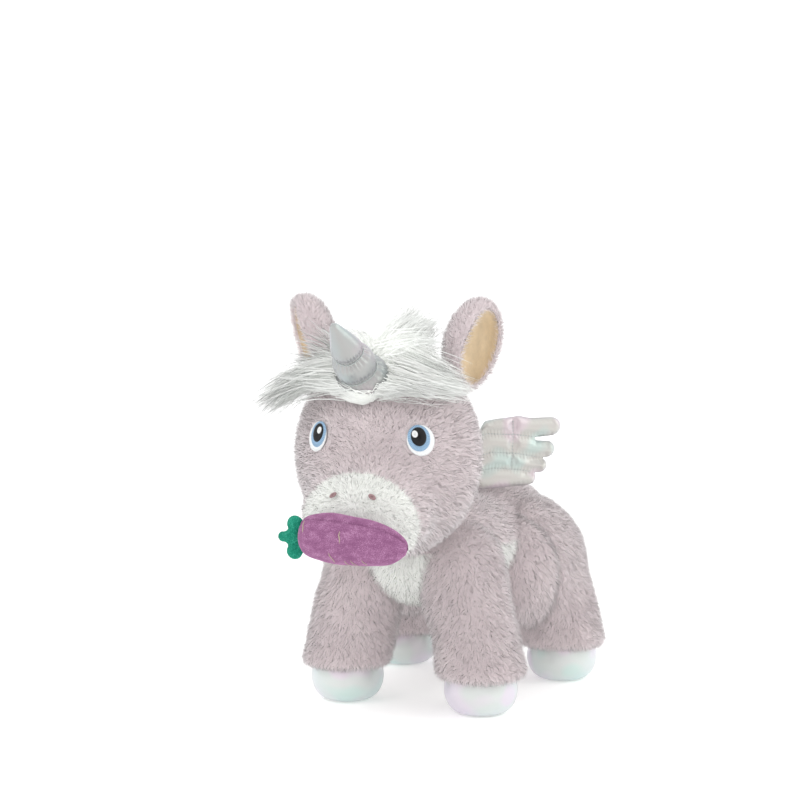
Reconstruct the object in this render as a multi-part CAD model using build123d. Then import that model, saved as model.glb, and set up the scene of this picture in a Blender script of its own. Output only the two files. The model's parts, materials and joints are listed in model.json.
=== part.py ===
from build123d import *
import math
import os

# A standing plush unicorn with wings and a carrot in its mouth, about 380 mm to its ear tips,
# all sizes in millimetres. +Z is up, the face looks along -Y, the animal's left side is +X, and
# Z = 0 is the floor. Each skin of fur or satin is a closed shell of its own, with a core of fibre
# filling inside it. Pieces on different bodies meet in ball-shaped seams, so that each can move.
# The shapes stop at the foot of the pile: the fur itself stands about 6 mm further out.

# ---- Driving dimensions -------------------------------------------------------------------
SKIN = 3.0                # a fur skin: knitted backing and the dense foot of its pile
SATIN = 1.5               # the pearl fabric of hooves, horn and wings
FILL_GAP = 0.3            # between a skin and the filling inside it
SEAM_GAP = 0.9            # between two bodies in a ball-shaped seam
BACKWARD = 59.6           # moves the whole animal along +Y, to centre its box on the origin

TRUNK = ((0, 7, 143), (74, 127, 50), 47)      # centre, half sizes and edge radius
BELLY_TOP = 150.0         # the white belly panel lies below this height
BELLY_END = 62.0          # and in front of this place under the rump

HEAD_TURN = 7.0           # degrees that the head looks to its left
NECK = (0, -98, 190)      # the middle of the ball-shaped neck seam
NECK_RADIUS = 45.0
HEAD_ROOM = 9.0           # between the head and the shoulders, for nodding and turning
SKULL = ((0, -147, 243), (78, 63, 84), 60)
MUZZLE = ((0, -204, 199), (56, 41, 42), 38)
MUZZLE_PANEL = ((0, -240, 190), 58)              # the white panel is what lies in this ball

FRONT_HIP, FRONT_FOOT, FRONT_BALL = (47, -78, 136), (67.6, -79.4), 39.0
REAR_HIP, REAR_FOOT, REAR_BALL = (57, 80, 124), (84.8, 79.4), 46.0
LEG_INSIDE = 19.0         # a leg's flat inner side is this far from the middle plane
LEG_SWING = 14.0          # degrees forward and back
CUFF_RADIUS, CUFF_HEIGHT = 38.0, 36.0        # the sleeve's end above the hoof
HOOF_RADIUS, HOOF_WIDEST, HOOF_TOP = 34.0, 21.0, 52.0
SOLE_RADIUS = 18.0
HOOF_GAP = 0.4            # between a hoof and its sleeve

EAR_ROOT = (63, -130, 304)
EAR_BALL, EAR_STEM = 9.0, 6.5                # radii of the ball in its seam and of the ear's foot
EAR_HALF = (26, 13, 36)   # half width, half depth and half height of the cup
EAR_LIFT = 42.0           # from the root to the middle of the cup
EAR_FACES = 70.0          # degrees from straight ahead that the cup opens outwards
EAR_LEAN = 15.0           # degrees that the ear leans outwards
EAR_CUP = ((0, 0, EAR_LIFT), EAR_HALF)
LINING = 1.4

EYE = (33, 265)           # where the eye's axis starts inside the head: across, and height
EYE_FACES = 28.0          # degrees from straight ahead that an eye looks outwards
IRIS_RADIUS, PUPIL_RADIUS, GLINT_RADIUS = 11.5, 7.6, 2.2
STITCHED = 1.2            # thickness of the embroidery
NOSTRIL = (17, 212)

FORELOCK = ((-74, -240, 290), (74, -168, 345))   # low and high corners of the block that cuts each
MANE = ((-26, -167, 300), (26, -90, 345))        # from the layer of long pile on the crown

HORN_BASE = (-4, -190, 298)
HORN_FORWARD, HORN_SIDE = 42.0, 8.0          # degrees that it leans forward and to its right
HORN_RADIUS, HORN_LENGTH = 21.0, 80.0
HORN_SEGMENTS = 3
THREAD = 0.7              # radius of the thread that gathers the horn

WING_ROOT = (20, -26, 196)
WING_BALL = 9.0
WING_SWEEP = 45.0         # degrees back from sideways
WING_THICK = 12.0
WING_PALM = ((8, 7), (14, 36), (26, 59), (70, 59), (78, 40), (66, 6), (22, 5))
PALM_RADIUS = 6.5         # round the corners of the palm, given as (out from the root, above it)
FEATHERS = (((40, 58), (98, 56)), ((40, 40), (93, 36)), ((40, 22), (85, 21)), ((30, 7), (76, 9)))
FEATHER_RADIUS = 7.5      # round each feather's two ends

TAIL_ROOT, TAIL_BALL = (0, 128, 166), 11.0
TAIL = ((0, 151, 118), (17, 14, 50))

CARROT = (9, -266, 182)   # its middle
CARROT_LENGTH, CARROT_RADIUS, CARROT_FLATNESS = 96.0, 22.5, 0.78
CARROT_PROFILE = (        # (along its axis, radius), as parts of half its length and of its radius
    (-1, 0.28), (-0.94, 0.68), (-0.66, 0.95), (-0.2, 1.0),
    (0.3, 0.83), (0.75, 0.53), (0.95, 0.3), (1, 0.1))
CARROT_TILT = 7.0         # degrees down towards its tip
LEAF = ((-12, 0, 0), (12.5, 4.5, 7.5))       # from the carrot's crown, and fanned out by these turns
LEAF_TURNS = (-48, 0, 48)
STITCH_MARKS = ((-38, 6, 8), (-4, -2, 9), (10, 7, 7), (14, -11, 8), (28, -8, 6))   # along, up, length
MAGNET_RADIUS, MAGNET_THICK = 8.0, 3.0
MAGNET_DEPTH = 7.0        # of the muzzle's magnet behind its panel

AHEAD = Vector(0, -1, 0)
HORN_PLACE = Pos(*HORN_BASE) * Rot(HORN_FORWARD, 0, 0) * Rot(0, -HORN_SIDE, 0)
STANDING = (Align.CENTER, Align.CENTER, Align.MIN)


# ---- Helpers ------------------------------------------------------------------------------
def pillow(shape, grow=0.0):
    """A rounded block from (centre, half sizes, edge radius), grown by that much all round."""
    centre, half, radius = shape
    solid = Box(*(2 * (h + grow) for h in half))
    return Pos(*centre) * fillet(solid.edges(), radius + grow)


def ellipsoid(shape, grow=0.0):
    """An ellipsoid from (centre, half sizes), grown by that much all round, its seam at -Y."""
    centre, half = shape
    width, depth, height = (h + grow for h in half)
    return Pos(*centre) * Rot(0, 0, -90) * scale(Sphere(1), by=(depth, width, height))


def half_ellipsoid(shape, grow=0.0):
    """The half of such an ellipsoid that lies behind its centre, with a flat face at its front."""
    centre, half = shape
    dome = Sphere(1, arc_size3=180, align=(Align.CENTER, Align.MIN, Align.CENTER))
    return Pos(*centre) * scale(dome, by=tuple(h + grow for h in half))


def ball(centre, radius):
    return Pos(*centre) * Sphere(radius)


def block(low, high):
    size = [b - a for a, b in zip(low, high)]
    middle = [(a + b) / 2 for a, b in zip(low, high)]
    return Pos(*middle) * Box(*size)


def mirrored(solid, side):
    """The animal's left-hand solid as it is, or its mirror image for the right side."""
    return solid if side > 0 else mirror(solid, about=Plane.YZ)


def on_head(solid):
    """Turns what was built on a head that looks straight ahead to where the head looks."""
    return solid.rotate(Axis(NECK, (0, 0, 1)), HEAD_TURN)


def revolved(points):
    """The solid that a profile of (radius, height) points sweeps about Z, smooth between its ends."""
    with BuildPart() as made:
        with BuildSketch(Plane.XZ):
            with BuildLine():
                Spline(*points)
                Polyline(points[-1], (0, points[-1][1]), (0, points[0][1]), points[0])
            make_face()
        revolve(axis=Axis.Z)
    return made.part


written = {}


def save(name, shape):
    """Writes one node, with its solids apart where it is a group."""
    solids = [Pos(0, BACKWARD, 0) * solid for solid in shape.solids()]
    export_step(solids[0] if len(solids) == 1 else Compound(children=solids), f"parts/{name}.step")
    written[name] = solids


# ---- Legs and hooves ----------------------------------------------------------------------
def leg_solid(hip, foot, radius, shrink):
    """A leg on the left side: a round top and a sleeve that slants outwards to the hoof."""
    start = Vector(*hip)
    end = Vector(foot[0], foot[1], HOOF_WIDEST)
    run = end - start
    cone = Cone(radius - shrink, CUFF_RADIUS - shrink, run.length, align=STANDING)
    solid = Plane(origin=start, z_dir=run) * cone + ball(hip, radius - shrink)
    floor = CUFF_HEIGHT if shrink == 0 else HOOF_TOP + 2
    solid -= block((-300, -300, -100), (300, 300, floor))
    return solid - block((-300, -300, -100), (LEG_INSIDE + shrink, 300, 300))


def leg_room(hip, radius, grow):
    """The space beside the trunk that a leg needs for its swing, from its flat inner side out."""
    lean = math.radians(LEG_SWING + 1)
    reach = radius + grow
    down = 220.0
    corners = []
    for way in (1, -1):
        edge = Vector(way * reach * math.cos(lean), reach * math.sin(lean))
        corners.append([edge, edge + Vector(way * math.sin(lean), -math.cos(lean)) * down])
    outline = make_face(Polyline(corners[0][0], corners[0][1], corners[1][1], corners[1][0], close=True))
    profile = outline + Circle(reach)
    inside = LEG_INSIDE - grow
    plane = Plane(origin=(inside, hip[1], hip[2]), x_dir=(0, 1, 0), z_dir=(1, 0, 0))
    return extrude(plane * profile, amount=150)


def hoof_solid(shrink):
    """A soft round hoof with a flat sole, on the Z axis."""
    points = [
        (SOLE_RADIUS, shrink),
        (HOOF_RADIUS * 0.86 - shrink, 7.5 + shrink * 0.7),
        (HOOF_RADIUS - shrink, HOOF_WIDEST),
        (HOOF_RADIUS * 0.88 - shrink, 36),
        (HOOF_RADIUS * 0.62 - shrink, HOOF_TOP - 3.0 - shrink),
        (6.0, HOOF_TOP - shrink),
    ]
    return revolved(points)


def build_leg(name, hip, foot, radius, side):
    cover = leg_solid(hip, foot, radius, 0)
    hollow = leg_solid(hip, foot, radius, SKIN)
    hoof_place = Pos(foot[0], foot[1], 0)
    hoof = hoof_place * hoof_solid(0)
    sleeve = Vector(*hip) - Vector(foot[0], foot[1], HOOF_WIDEST)
    bore = Cylinder(CUFF_RADIUS - SKIN, HOOF_TOP - HOOF_WIDEST + 2, align=STANDING)
    bore = Plane(origin=(foot[0], foot[1], HOOF_WIDEST), z_dir=sleeve) * bore
    hoof_room = hoof_place * hoof_solid(-HOOF_GAP)
    save(f"{name}_leg_cover", mirrored(cover - hollow - bore - hoof_room, side))
    save(f"{name}_leg_filling", mirrored(leg_solid(hip, foot, radius, SKIN + FILL_GAP), side))
    save(f"{name}_hoof_cover", mirrored(hoof - hoof_place * hoof_solid(SATIN), side))
    save(f"{name}_hoof_filling", mirrored(hoof_place * hoof_solid(SATIN + FILL_GAP), side))


# ---- Trunk --------------------------------------------------------------------------------
def head_solid(grow):
    """Skull and muzzle together, looking straight ahead."""
    return pillow(SKULL, grow) + pillow(MUZZLE, grow)


def trunk_solid(shrink):
    """The trunk with its neck, and with room for the head, legs, wings and tail."""
    solid = pillow(TRUNK, -shrink)
    solid -= on_head(head_solid(HEAD_ROOM + shrink))
    solid += ball(NECK, NECK_RADIUS - shrink)
    for side in (1, -1):
        solid -= mirrored(leg_room(FRONT_HIP, FRONT_BALL + SEAM_GAP, shrink), side)
        solid -= mirrored(leg_room(REAR_HIP, REAR_BALL + SEAM_GAP, shrink), side)
        solid -= mirrored(ball(WING_ROOT, WING_BALL + SEAM_GAP + shrink), side)
    return solid - ball(TAIL_ROOT, TAIL_BALL + SEAM_GAP + shrink)


def build_trunk():
    skin = trunk_solid(0) - trunk_solid(SKIN)
    below = block((-200, -300, 0), (200, BELLY_END, BELLY_TOP))
    save("trunk_cover", skin - below)
    save("belly_panel", skin & below)
    save("trunk_filling", trunk_solid(SKIN + FILL_GAP))


# ---- Head ---------------------------------------------------------------------------------
def stitched_on(surface, plane, outline, reach):
    """Embroidery: a layer on a rounded block where a sketch is cast on it along a plane's normal."""
    layer = pillow(surface, STITCHED) - pillow(surface)
    return layer & extrude(plane * outline, amount=reach)


def head_base(shrink):
    solid = head_solid(-shrink) - ball(NECK, NECK_RADIUS + SEAM_GAP + shrink)
    for side in (1, -1):
        solid -= mirrored(ball(EAR_ROOT, EAR_BALL + SEAM_GAP + shrink), side)
    return solid


def build_eyes():
    facing = math.radians(EYE_FACES)
    normal = Vector(math.sin(facing), -math.cos(facing), 0)
    start = Vector(EYE[0], SKULL[0][1] - 30, EYE[1])
    plane = Plane(origin=start, x_dir=Vector(0, 0, 1).cross(normal), z_dir=normal)
    white = Pos(2.6, -1.2) * Ellipse(14.0, 13.6)
    iris = Circle(IRIS_RADIUS)
    pupil = Circle(PUPIL_RADIUS)
    for name, side in (("left", 1), ("right", -1)):
        # both glints lie on the eye's side towards the nose, as the same lamp would make them
        glint = Pos(-3.4, 3.0) * Circle(GLINT_RADIUS)
        pieces = {"eye_white": white - iris, "iris": iris - pupil, "pupil": pupil - glint, "glint": glint}
        for piece, outline in pieces.items():
            stitched = stitched_on(SKULL, plane, outline, 80)
            save(f"{name}_{piece}", on_head(mirrored(stitched, side)))


def horn_profile(shrink):
    """The gathered cone: one soft swelling for each segment, and a rounded tip."""
    points = []
    steps = 6
    for k in range(HORN_SEGMENTS * steps):
        along = k / (HORN_SEGMENTS * steps)
        swell = 1.6 * abs(math.sin(math.pi * k / steps))
        points.append((HORN_RADIUS * (1 - 0.86 * along) + swell - 1.0 - shrink, HORN_LENGTH * along))
    points.append((1.2, HORN_LENGTH - shrink))
    return revolved(points)


def build_horn():
    cover = HORN_PLACE * horn_profile(0) - HORN_PLACE * horn_profile(SATIN) - pillow(SKULL)
    save("horn_cover", on_head(cover))
    filling = HORN_PLACE * horn_profile(SATIN + FILL_GAP) - pillow(SKULL, FILL_GAP)
    save("horn_filling", on_head(filling))
    rings = []
    for segment in range(1, HORN_SEGMENTS):
        along = segment / HORN_SEGMENTS
        waist = HORN_RADIUS * (1 - 0.86 * along) - 1.0
        rings.append(HORN_PLACE * Pos(0, 0, HORN_LENGTH * along) * Torus(waist + THREAD + 0.25, THREAD))
    save("horn_thread", on_head(Compound(children=rings) - pillow(SKULL, 0.1)))


def build_head():
    skin = head_base(0) - head_base(SKIN)
    panel = ball(*MUZZLE_PANEL)
    save("head_cover", on_head(skin - panel))
    save("muzzle_panel", on_head(skin & panel))
    depth = MUZZLE[0][1] - MUZZLE[1][1] + SKIN + FILL_GAP + MAGNET_DEPTH
    magnet_place = Pos(0, depth, CARROT[2] + 4) * Rot(90, 0, 0)
    pocket = magnet_place * Cylinder(MAGNET_RADIUS + FILL_GAP, MAGNET_THICK + 2 * FILL_GAP)
    save("head_filling", on_head(head_base(SKIN + FILL_GAP) - pocket))
    save("muzzle_magnet", on_head(magnet_place * Cylinder(MAGNET_RADIUS, MAGNET_THICK)))

    build_eyes()
    nostril = Plane(origin=(NOSTRIL[0], MUZZLE[0][1], NOSTRIL[1]), x_dir=(1, 0, 0), z_dir=AHEAD)
    outline = Rot(0, 0, 20) * Ellipse(3.2, 2.0)
    dots = [mirrored(stitched_on(MUZZLE, nostril, outline, 80), side) for side in (1, -1)]
    save("nostrils", on_head(Compound(children=dots)))

    build_horn()
    ears = [mirrored(ball(EAR_ROOT, EAR_LIFT * 0.6), side) for side in (1, -1)]
    crown = pillow(SKULL, 11) - pillow(SKULL, FILL_GAP) - ears[0] - ears[1]
    crown -= HORN_PLACE * Cylinder(HORN_RADIUS + 3, 80)
    save("forelock", on_head((crown & block(*FORELOCK)).solids().sort_by(Axis.Y)[0]))
    save("mane", on_head((crown & block(*MANE)).solids().sort_by(Axis.Y)[-1]))


def build_ear(name, side):
    place = Pos(*EAR_ROOT) * Rot(0, EAR_LEAN, 0) * Rot(0, 0, EAR_FACES)
    back = half_ellipsoid(EAR_CUP) + Cylinder(EAR_STEM, EAR_LIFT - EAR_HALF[2] + 6, align=STANDING)
    back += Sphere(EAR_BALL)
    back -= half_ellipsoid(EAR_CUP, -SKIN)
    lining = half_ellipsoid(EAR_CUP, -SKIN - 0.1) - half_ellipsoid(EAR_CUP, -SKIN - 0.1 - LINING)
    save(f"{name}_ear_back", on_head(mirrored(place * back, side)))
    save(f"{name}_ear_lining", on_head(mirrored(place * lining, side)))


# ---- Wings, tail and carrot ---------------------------------------------------------------
def taut(points, radius):
    """The outline of a band pulled tight round circles of one radius at these points."""
    return make_hull([edge for point in points for edge in (Pos(*point) * Circle(radius)).edges()])


def wing_outline(shrink):
    """The wing's outline in its own plane, X out from the root and Y up: a palm and its feathers."""
    outline = taut(WING_PALM, PALM_RADIUS - shrink)
    for root, tip in FEATHERS:
        outline += taut((root, tip), FEATHER_RADIUS - shrink)
    return outline


def build_wing(name, side):
    place = Pos(*WING_ROOT) * Rot(0, 0, WING_SWEEP) * Rot(90, 0, 0)
    panel = extrude(wing_outline(0), amount=WING_THICK / 2, both=True) + Sphere(WING_BALL)
    inner = extrude(wing_outline(SATIN), amount=WING_THICK / 2 - SATIN, both=True)
    padding = extrude(wing_outline(SATIN + FILL_GAP), amount=WING_THICK / 2 - SATIN - FILL_GAP, both=True)
    save(f"{name}_wing_cover", mirrored(place * (panel - inner), side))
    save(f"{name}_wing_padding", mirrored(place * padding, side))


def build_tail():
    dock = ball((0, TAIL[0][1] - 6, TAIL_ROOT[2] - 5), TAIL_BALL + 1)
    save("tail", ball(TAIL_ROOT, TAIL_BALL) + dock + ellipsoid(TAIL))


def carrot_solid(shrink, grow=0.0):
    """The carrot along X, its crown at -X and its tip at +X, flattened front to back."""
    half = CARROT_LENGTH / 2
    points = [(CARROT_RADIUS * r - shrink + grow, t * (half - shrink + grow)) for t, r in CARROT_PROFILE]
    points = [(max(r, 1.0), h) for r, h in points]
    return scale(Rot(0, 90, 0) * revolved(points), by=(1, CARROT_FLATNESS, 1))


def build_carrot():
    place = Pos(*CARROT) * Rot(0, CARROT_TILT, 0)
    outside = carrot_solid(0)
    save("carrot_cover", on_head(place * (outside - carrot_solid(SATIN))))
    depth = CARROT_RADIUS * CARROT_FLATNESS
    magnet = Pos(-CARROT[0], depth - SATIN - FILL_GAP - 4.5, 4) * Rot(90, 0, 0)
    pocket = magnet * Cylinder(MAGNET_RADIUS + FILL_GAP, MAGNET_THICK + 2 * FILL_GAP)
    save("carrot_filling", on_head(place * (carrot_solid(SATIN + FILL_GAP) - pocket)))
    save("carrot_magnet", on_head(place * magnet * Cylinder(MAGNET_RADIUS, MAGNET_THICK)))

    crown = Pos(-CARROT_LENGTH / 2 - 2, 0, 0)
    leaves = crown * Sphere(6)
    for lean in LEAF_TURNS:
        leaves += crown * Rot(0, lean, 0) * ellipsoid(LEAF)
    save("carrot_leaves", on_head(place * (leaves - carrot_solid(0, 0.05))))

    layer = carrot_solid(0, 0.7) - outside
    stitches = []
    for along, up, length in STITCH_MARKS:
        bar = Pos(along, -20, up) * Rot(0, 70, 0) * Box(length, 40, 1.2)
        stitches.append(layer & bar)
    save("carrot_stitches", on_head(place * Compound(children=stitches)))


# ---- The whole animal ---------------------------------------------------------------------
os.makedirs("parts", exist_ok=True)
build_trunk()
build_head()
for side_name, side in (("left", 1), ("right", -1)):
    build_leg(f"front_{side_name}", FRONT_HIP, FRONT_FOOT, FRONT_BALL, side)
    build_leg(f"rear_{side_name}", REAR_HIP, REAR_FOOT, REAR_BALL, side)
    build_ear(side_name, side)
    build_wing(side_name, side)
build_tail()
build_carrot()

everything = Compound(children=[solid for solids in written.values() for solid in solids])
box = everything.bounding_box()
print("nodes", len(written), "box", box.min, box.max)
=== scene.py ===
import json
import math
import bpy
import numpy as np
from mathutils import Matrix, Vector
from mathutils.kdtree import KDTree


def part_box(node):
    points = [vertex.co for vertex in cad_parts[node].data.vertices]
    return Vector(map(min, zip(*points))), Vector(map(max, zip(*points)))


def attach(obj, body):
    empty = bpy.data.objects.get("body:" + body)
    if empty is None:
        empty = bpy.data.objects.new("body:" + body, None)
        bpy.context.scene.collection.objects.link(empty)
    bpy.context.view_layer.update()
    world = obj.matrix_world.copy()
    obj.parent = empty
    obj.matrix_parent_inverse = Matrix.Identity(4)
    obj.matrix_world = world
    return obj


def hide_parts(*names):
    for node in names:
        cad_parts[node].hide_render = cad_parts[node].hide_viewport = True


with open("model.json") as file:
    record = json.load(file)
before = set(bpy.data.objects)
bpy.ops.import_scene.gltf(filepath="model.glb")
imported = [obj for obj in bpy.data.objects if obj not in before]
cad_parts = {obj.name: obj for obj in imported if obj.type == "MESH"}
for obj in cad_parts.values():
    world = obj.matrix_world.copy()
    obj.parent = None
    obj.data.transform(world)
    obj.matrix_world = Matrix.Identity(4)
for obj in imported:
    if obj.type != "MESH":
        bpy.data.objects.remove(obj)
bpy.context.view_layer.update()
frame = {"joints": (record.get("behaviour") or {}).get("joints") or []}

# A plush unicorn. Shapes are worked out in millimetres and made in metres. Furry bodies are soft
# skins found on a distance field, covered in thousands of combed blades of pile. Places on the head
# are in the head's own axes, with their origin at the neck, before the head's turn to its left.

MM = 0.001
RNG = np.random.default_rng(20)
JOINTS = {joint["name"]: joint for joint in frame["joints"]}


def joint_place(name):
    return np.array(JOINTS[name]["pos_m"]) / MM


def middle(node):
    """The middle of a CAD node's box, in millimetres."""
    low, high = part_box(node)
    return (np.array(low) + np.array(high)) / 2 / MM


NECK = joint_place("head_nod")
EAR_SPAN = joint_place("left_ear_flop") - joint_place("right_ear_flop")
HEAD_TURN = math.atan2(EAR_SPAN[1], EAR_SPAN[0])


# ---- Points and shapes --------------------------------------------------------------------
def turn(points, axis, angle):
    """Points turned about an axis through the origin, by an angle in radians."""
    rotation = Matrix.Rotation(angle, 3, Vector(axis))
    return np.asarray(points, float) @ np.array(rotation).T


def from_head(points):
    """From the head's own axes, with their origin at the neck, to the frame."""
    return turn(points, (0, 0, 1), HEAD_TURN) + NECK


def to_head(points):
    return turn(np.asarray(points, float) - NECK, (0, 0, 1), -HEAD_TURN)


def unit(vectors):
    return vectors / np.maximum(np.linalg.norm(vectors, axis=-1, keepdims=True), 1e-9)


def ellipsoid(p, centre, half):
    q = p - np.array(centre)
    near = np.linalg.norm(q / np.array(half), axis=1)
    slope = np.linalg.norm(q / np.array(half) ** 2, axis=1)
    return near * (near - 1) / np.maximum(slope, 1e-9)


def limb(p, start, end, start_radius, end_radius):
    """Distance to a tapered capsule."""
    start, run = np.array(start, float), np.array(end, float) - np.array(start, float)
    t = np.clip((p - start) @ run / (run @ run), 0, 1)
    away = np.linalg.norm(p - (start + t[:, None] * run), axis=1)
    return away - start_radius - t * (end_radius - start_radius)


def join(a, b, soft):
    h = np.clip(0.5 + 0.5 * (b - a) / soft, 0, 1)
    return b + (a - b) * h - soft * h * (1 - h)


def cut(a, b, soft):
    """Inside a and outside b, with a rounded edge."""
    return -join(-a, b, soft)


def near_line(p, corners):
    """Distance to a line through a few corners."""
    spans = [limb(p, a, b, 0, 0) for a, b in zip(corners, corners[1:])]
    return np.min(spans, axis=0)


def slope_of(field, p, step=0.5):
    columns = []
    for axis in range(3):
        d = np.zeros(3)
        d[axis] = step
        columns.append(field(p + d) - field(p - d))
    return unit(np.stack(columns, 1))


def wave(p, size, seed):
    """Smooth random values between about -1 and 1, varying over that many millimetres."""
    rng = np.random.default_rng(seed)
    total = np.zeros(len(p))
    for _ in range(6):
        direction = unit(rng.normal(size=3)) / size * rng.uniform(0.6, 1.6)
        total += np.sin(p @ direction * 2 * math.pi + rng.uniform(0, 6.3))
    return total / 3.0


# ---- Meshes -------------------------------------------------------------------------------
def make_mesh(name, points, faces):
    """A smoothly shaded mesh object from points in millimetres."""
    mesh = bpy.data.meshes.new(name)
    mesh.from_pydata((np.asarray(points) * MM).tolist(), [], faces)
    mesh.validate()
    obj = bpy.data.objects.new(name, mesh)
    bpy.context.scene.collection.objects.link(obj)
    mesh.polygons.foreach_set("use_smooth", [True] * len(mesh.polygons))
    return obj


def ball_mesh(level):
    """Directions and triangles of an icosphere."""
    bpy.ops.mesh.primitive_ico_sphere_add(subdivisions=level, radius=1)
    obj = bpy.context.object
    points = np.array([v.co for v in obj.data.vertices], float)
    faces = [tuple(p.vertices) for p in obj.data.polygons]
    bpy.data.objects.remove(obj)
    return unit(points), faces


BALL = {level: ball_mesh(level) for level in (5, 6)}


def wrap(field, centre, level=5, reach=260.0):
    """The surface where a distance field is zero, seen from a centre inside it."""
    directions, faces = BALL[level]
    low, high = np.zeros(len(directions)), np.full(len(directions), reach)
    for _ in range(24):
        half = (low + high) / 2
        inside = field(centre + directions * half[:, None]) < 0
        low, high = np.where(inside, half, low), np.where(inside, high, half)
    return centre + directions * ((low + high) / 2)[:, None], faces


def grid_faces(rows, columns, closed=True):
    """Quads of a grid whose rows run round a closed loop, or stay open."""
    faces = []
    for r in range(rows - 1):
        for c in range(columns if closed else columns - 1):
            d = (c + 1) % columns
            faces.append((r * columns + c, r * columns + d, (r + 1) * columns + d, (r + 1) * columns + c))
    return faces


def sewn_pair(distance, low, high, step):
    """Two layers of a grid in a plane, sharing the vertices of their edge, inside a 2-D outline.

    Returns the plane points, each one's layer (1 front, -1 back, 0 on the edge) and the faces.
    """
    across = np.arange(low[0], high[0] + step, step)
    up = np.arange(low[1], high[1] + step, step)
    gx, gy = np.meshgrid(across, up)
    flat = np.stack([gx.ravel(), gy.ravel()], 1)
    depth = distance(flat)
    wide = len(across)
    inside = depth < step * 0.45
    cells = []
    for r in range(len(up) - 1):
        for c in range(wide - 1):
            corners = (r * wide + c, r * wide + c + 1, (r + 1) * wide + c + 1, (r + 1) * wide + c)
            if inside[list(corners)].all():
                cells.append(corners)
    uses = {}
    for cell in cells:
        for a, b in zip(cell, cell[1:] + cell[:1]):
            uses[frozenset((a, b))] = uses.get(frozenset((a, b)), 0) + 1
    edge = {v for pair, count in uses.items() if count == 1 for v in pair}
    for _ in range(4):
        depth = distance(flat)
        slope = np.stack([distance(flat + d) - distance(flat - d) for d in ((0.4, 0), (0, 0.4))], 1)
        move = unit(slope) * depth[:, None]
        rim = np.array(sorted(edge))
        flat[rim] -= move[rim]
    front, back, layer, points = {}, {}, [], []
    for v in sorted({v for cell in cells for v in cell}):
        front[v] = back[v] = len(points)
        points.append(flat[v])
        layer.append(0 if v in edge else 1)
        if v not in edge:
            back[v] = len(points)
            points.append(flat[v])
            layer.append(-1)
    faces = [tuple(front[v] for v in cell) for cell in cells]
    faces += [tuple(back[v] for v in reversed(cell)) for cell in cells]
    return np.array(points), np.array(layer), faces


SIM_SCALE = 0.01                 # the cloth is simulated ten times its real size, in metres
SIM_FRAMES = 16
CLOTH = {"quality": 6, "mass": 0.3, "tension_stiffness": 18, "compression_stiffness": 18,
         "shear_stiffness": 8, "use_pressure": True, "vertex_group_mass": "sewn"}


def puff(points, faces, pinned, pressure, cap, bending=0.5):
    """Cloth blown up by pressure from a slightly small shape; no point moves further than the cap."""
    mesh = bpy.data.meshes.new("puff")
    mesh.from_pydata((points * SIM_SCALE).tolist(), [], faces)
    obj = bpy.data.objects.new("puff", mesh)
    bpy.context.scene.collection.objects.link(obj)
    group = obj.vertex_groups.new(name="sewn")
    group.add([int(v) for v in np.flatnonzero(pinned)], 1.0, "REPLACE")
    cloth = obj.modifiers.new("cloth", "CLOTH")
    for key, value in CLOTH.items():
        setattr(cloth.settings, key, value)
    cloth.settings.bending_stiffness = bending
    cloth.settings.uniform_pressure_force = pressure
    cloth.settings.effector_weights.gravity = 0
    cloth.point_cache.frame_end = SIM_FRAMES
    for moment in range(1, SIM_FRAMES + 1):
        bpy.context.scene.frame_set(moment)
    shaped = obj.evaluated_get(bpy.context.evaluated_depsgraph_get()).data
    result = np.array([v.co for v in shaped.vertices], float) / SIM_SCALE
    bpy.data.objects.remove(obj)
    bpy.context.scene.frame_set(1)
    moved = result - points
    far = np.linalg.norm(moved, axis=1, keepdims=True)
    return points + moved * np.minimum(1, cap / np.maximum(far, 1e-6))


def second_skin(obj, zone, material):
    """Gives the faces in a zone their own material."""
    obj.data.materials.append(material)
    centres = np.array([face.center for face in obj.data.polygons]) / MM
    obj.data.polygons.foreach_set("material_index", zone(centres).astype(np.int32))


def finish_piece(obj, body, slot, material, nodes=(), fill=None):
    """Gives a piece its material and body and hides the CAD nodes it stands for; its slot and fill are not
    used.
    """
    obj.data.materials.clear()
    obj.data.materials.append(material)
    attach(obj, body)
    if nodes:
        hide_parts(*nodes)
    return obj


def piece(name, points, faces, *finish):
    return finish_piece(make_mesh(name, points, faces), *finish)


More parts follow.
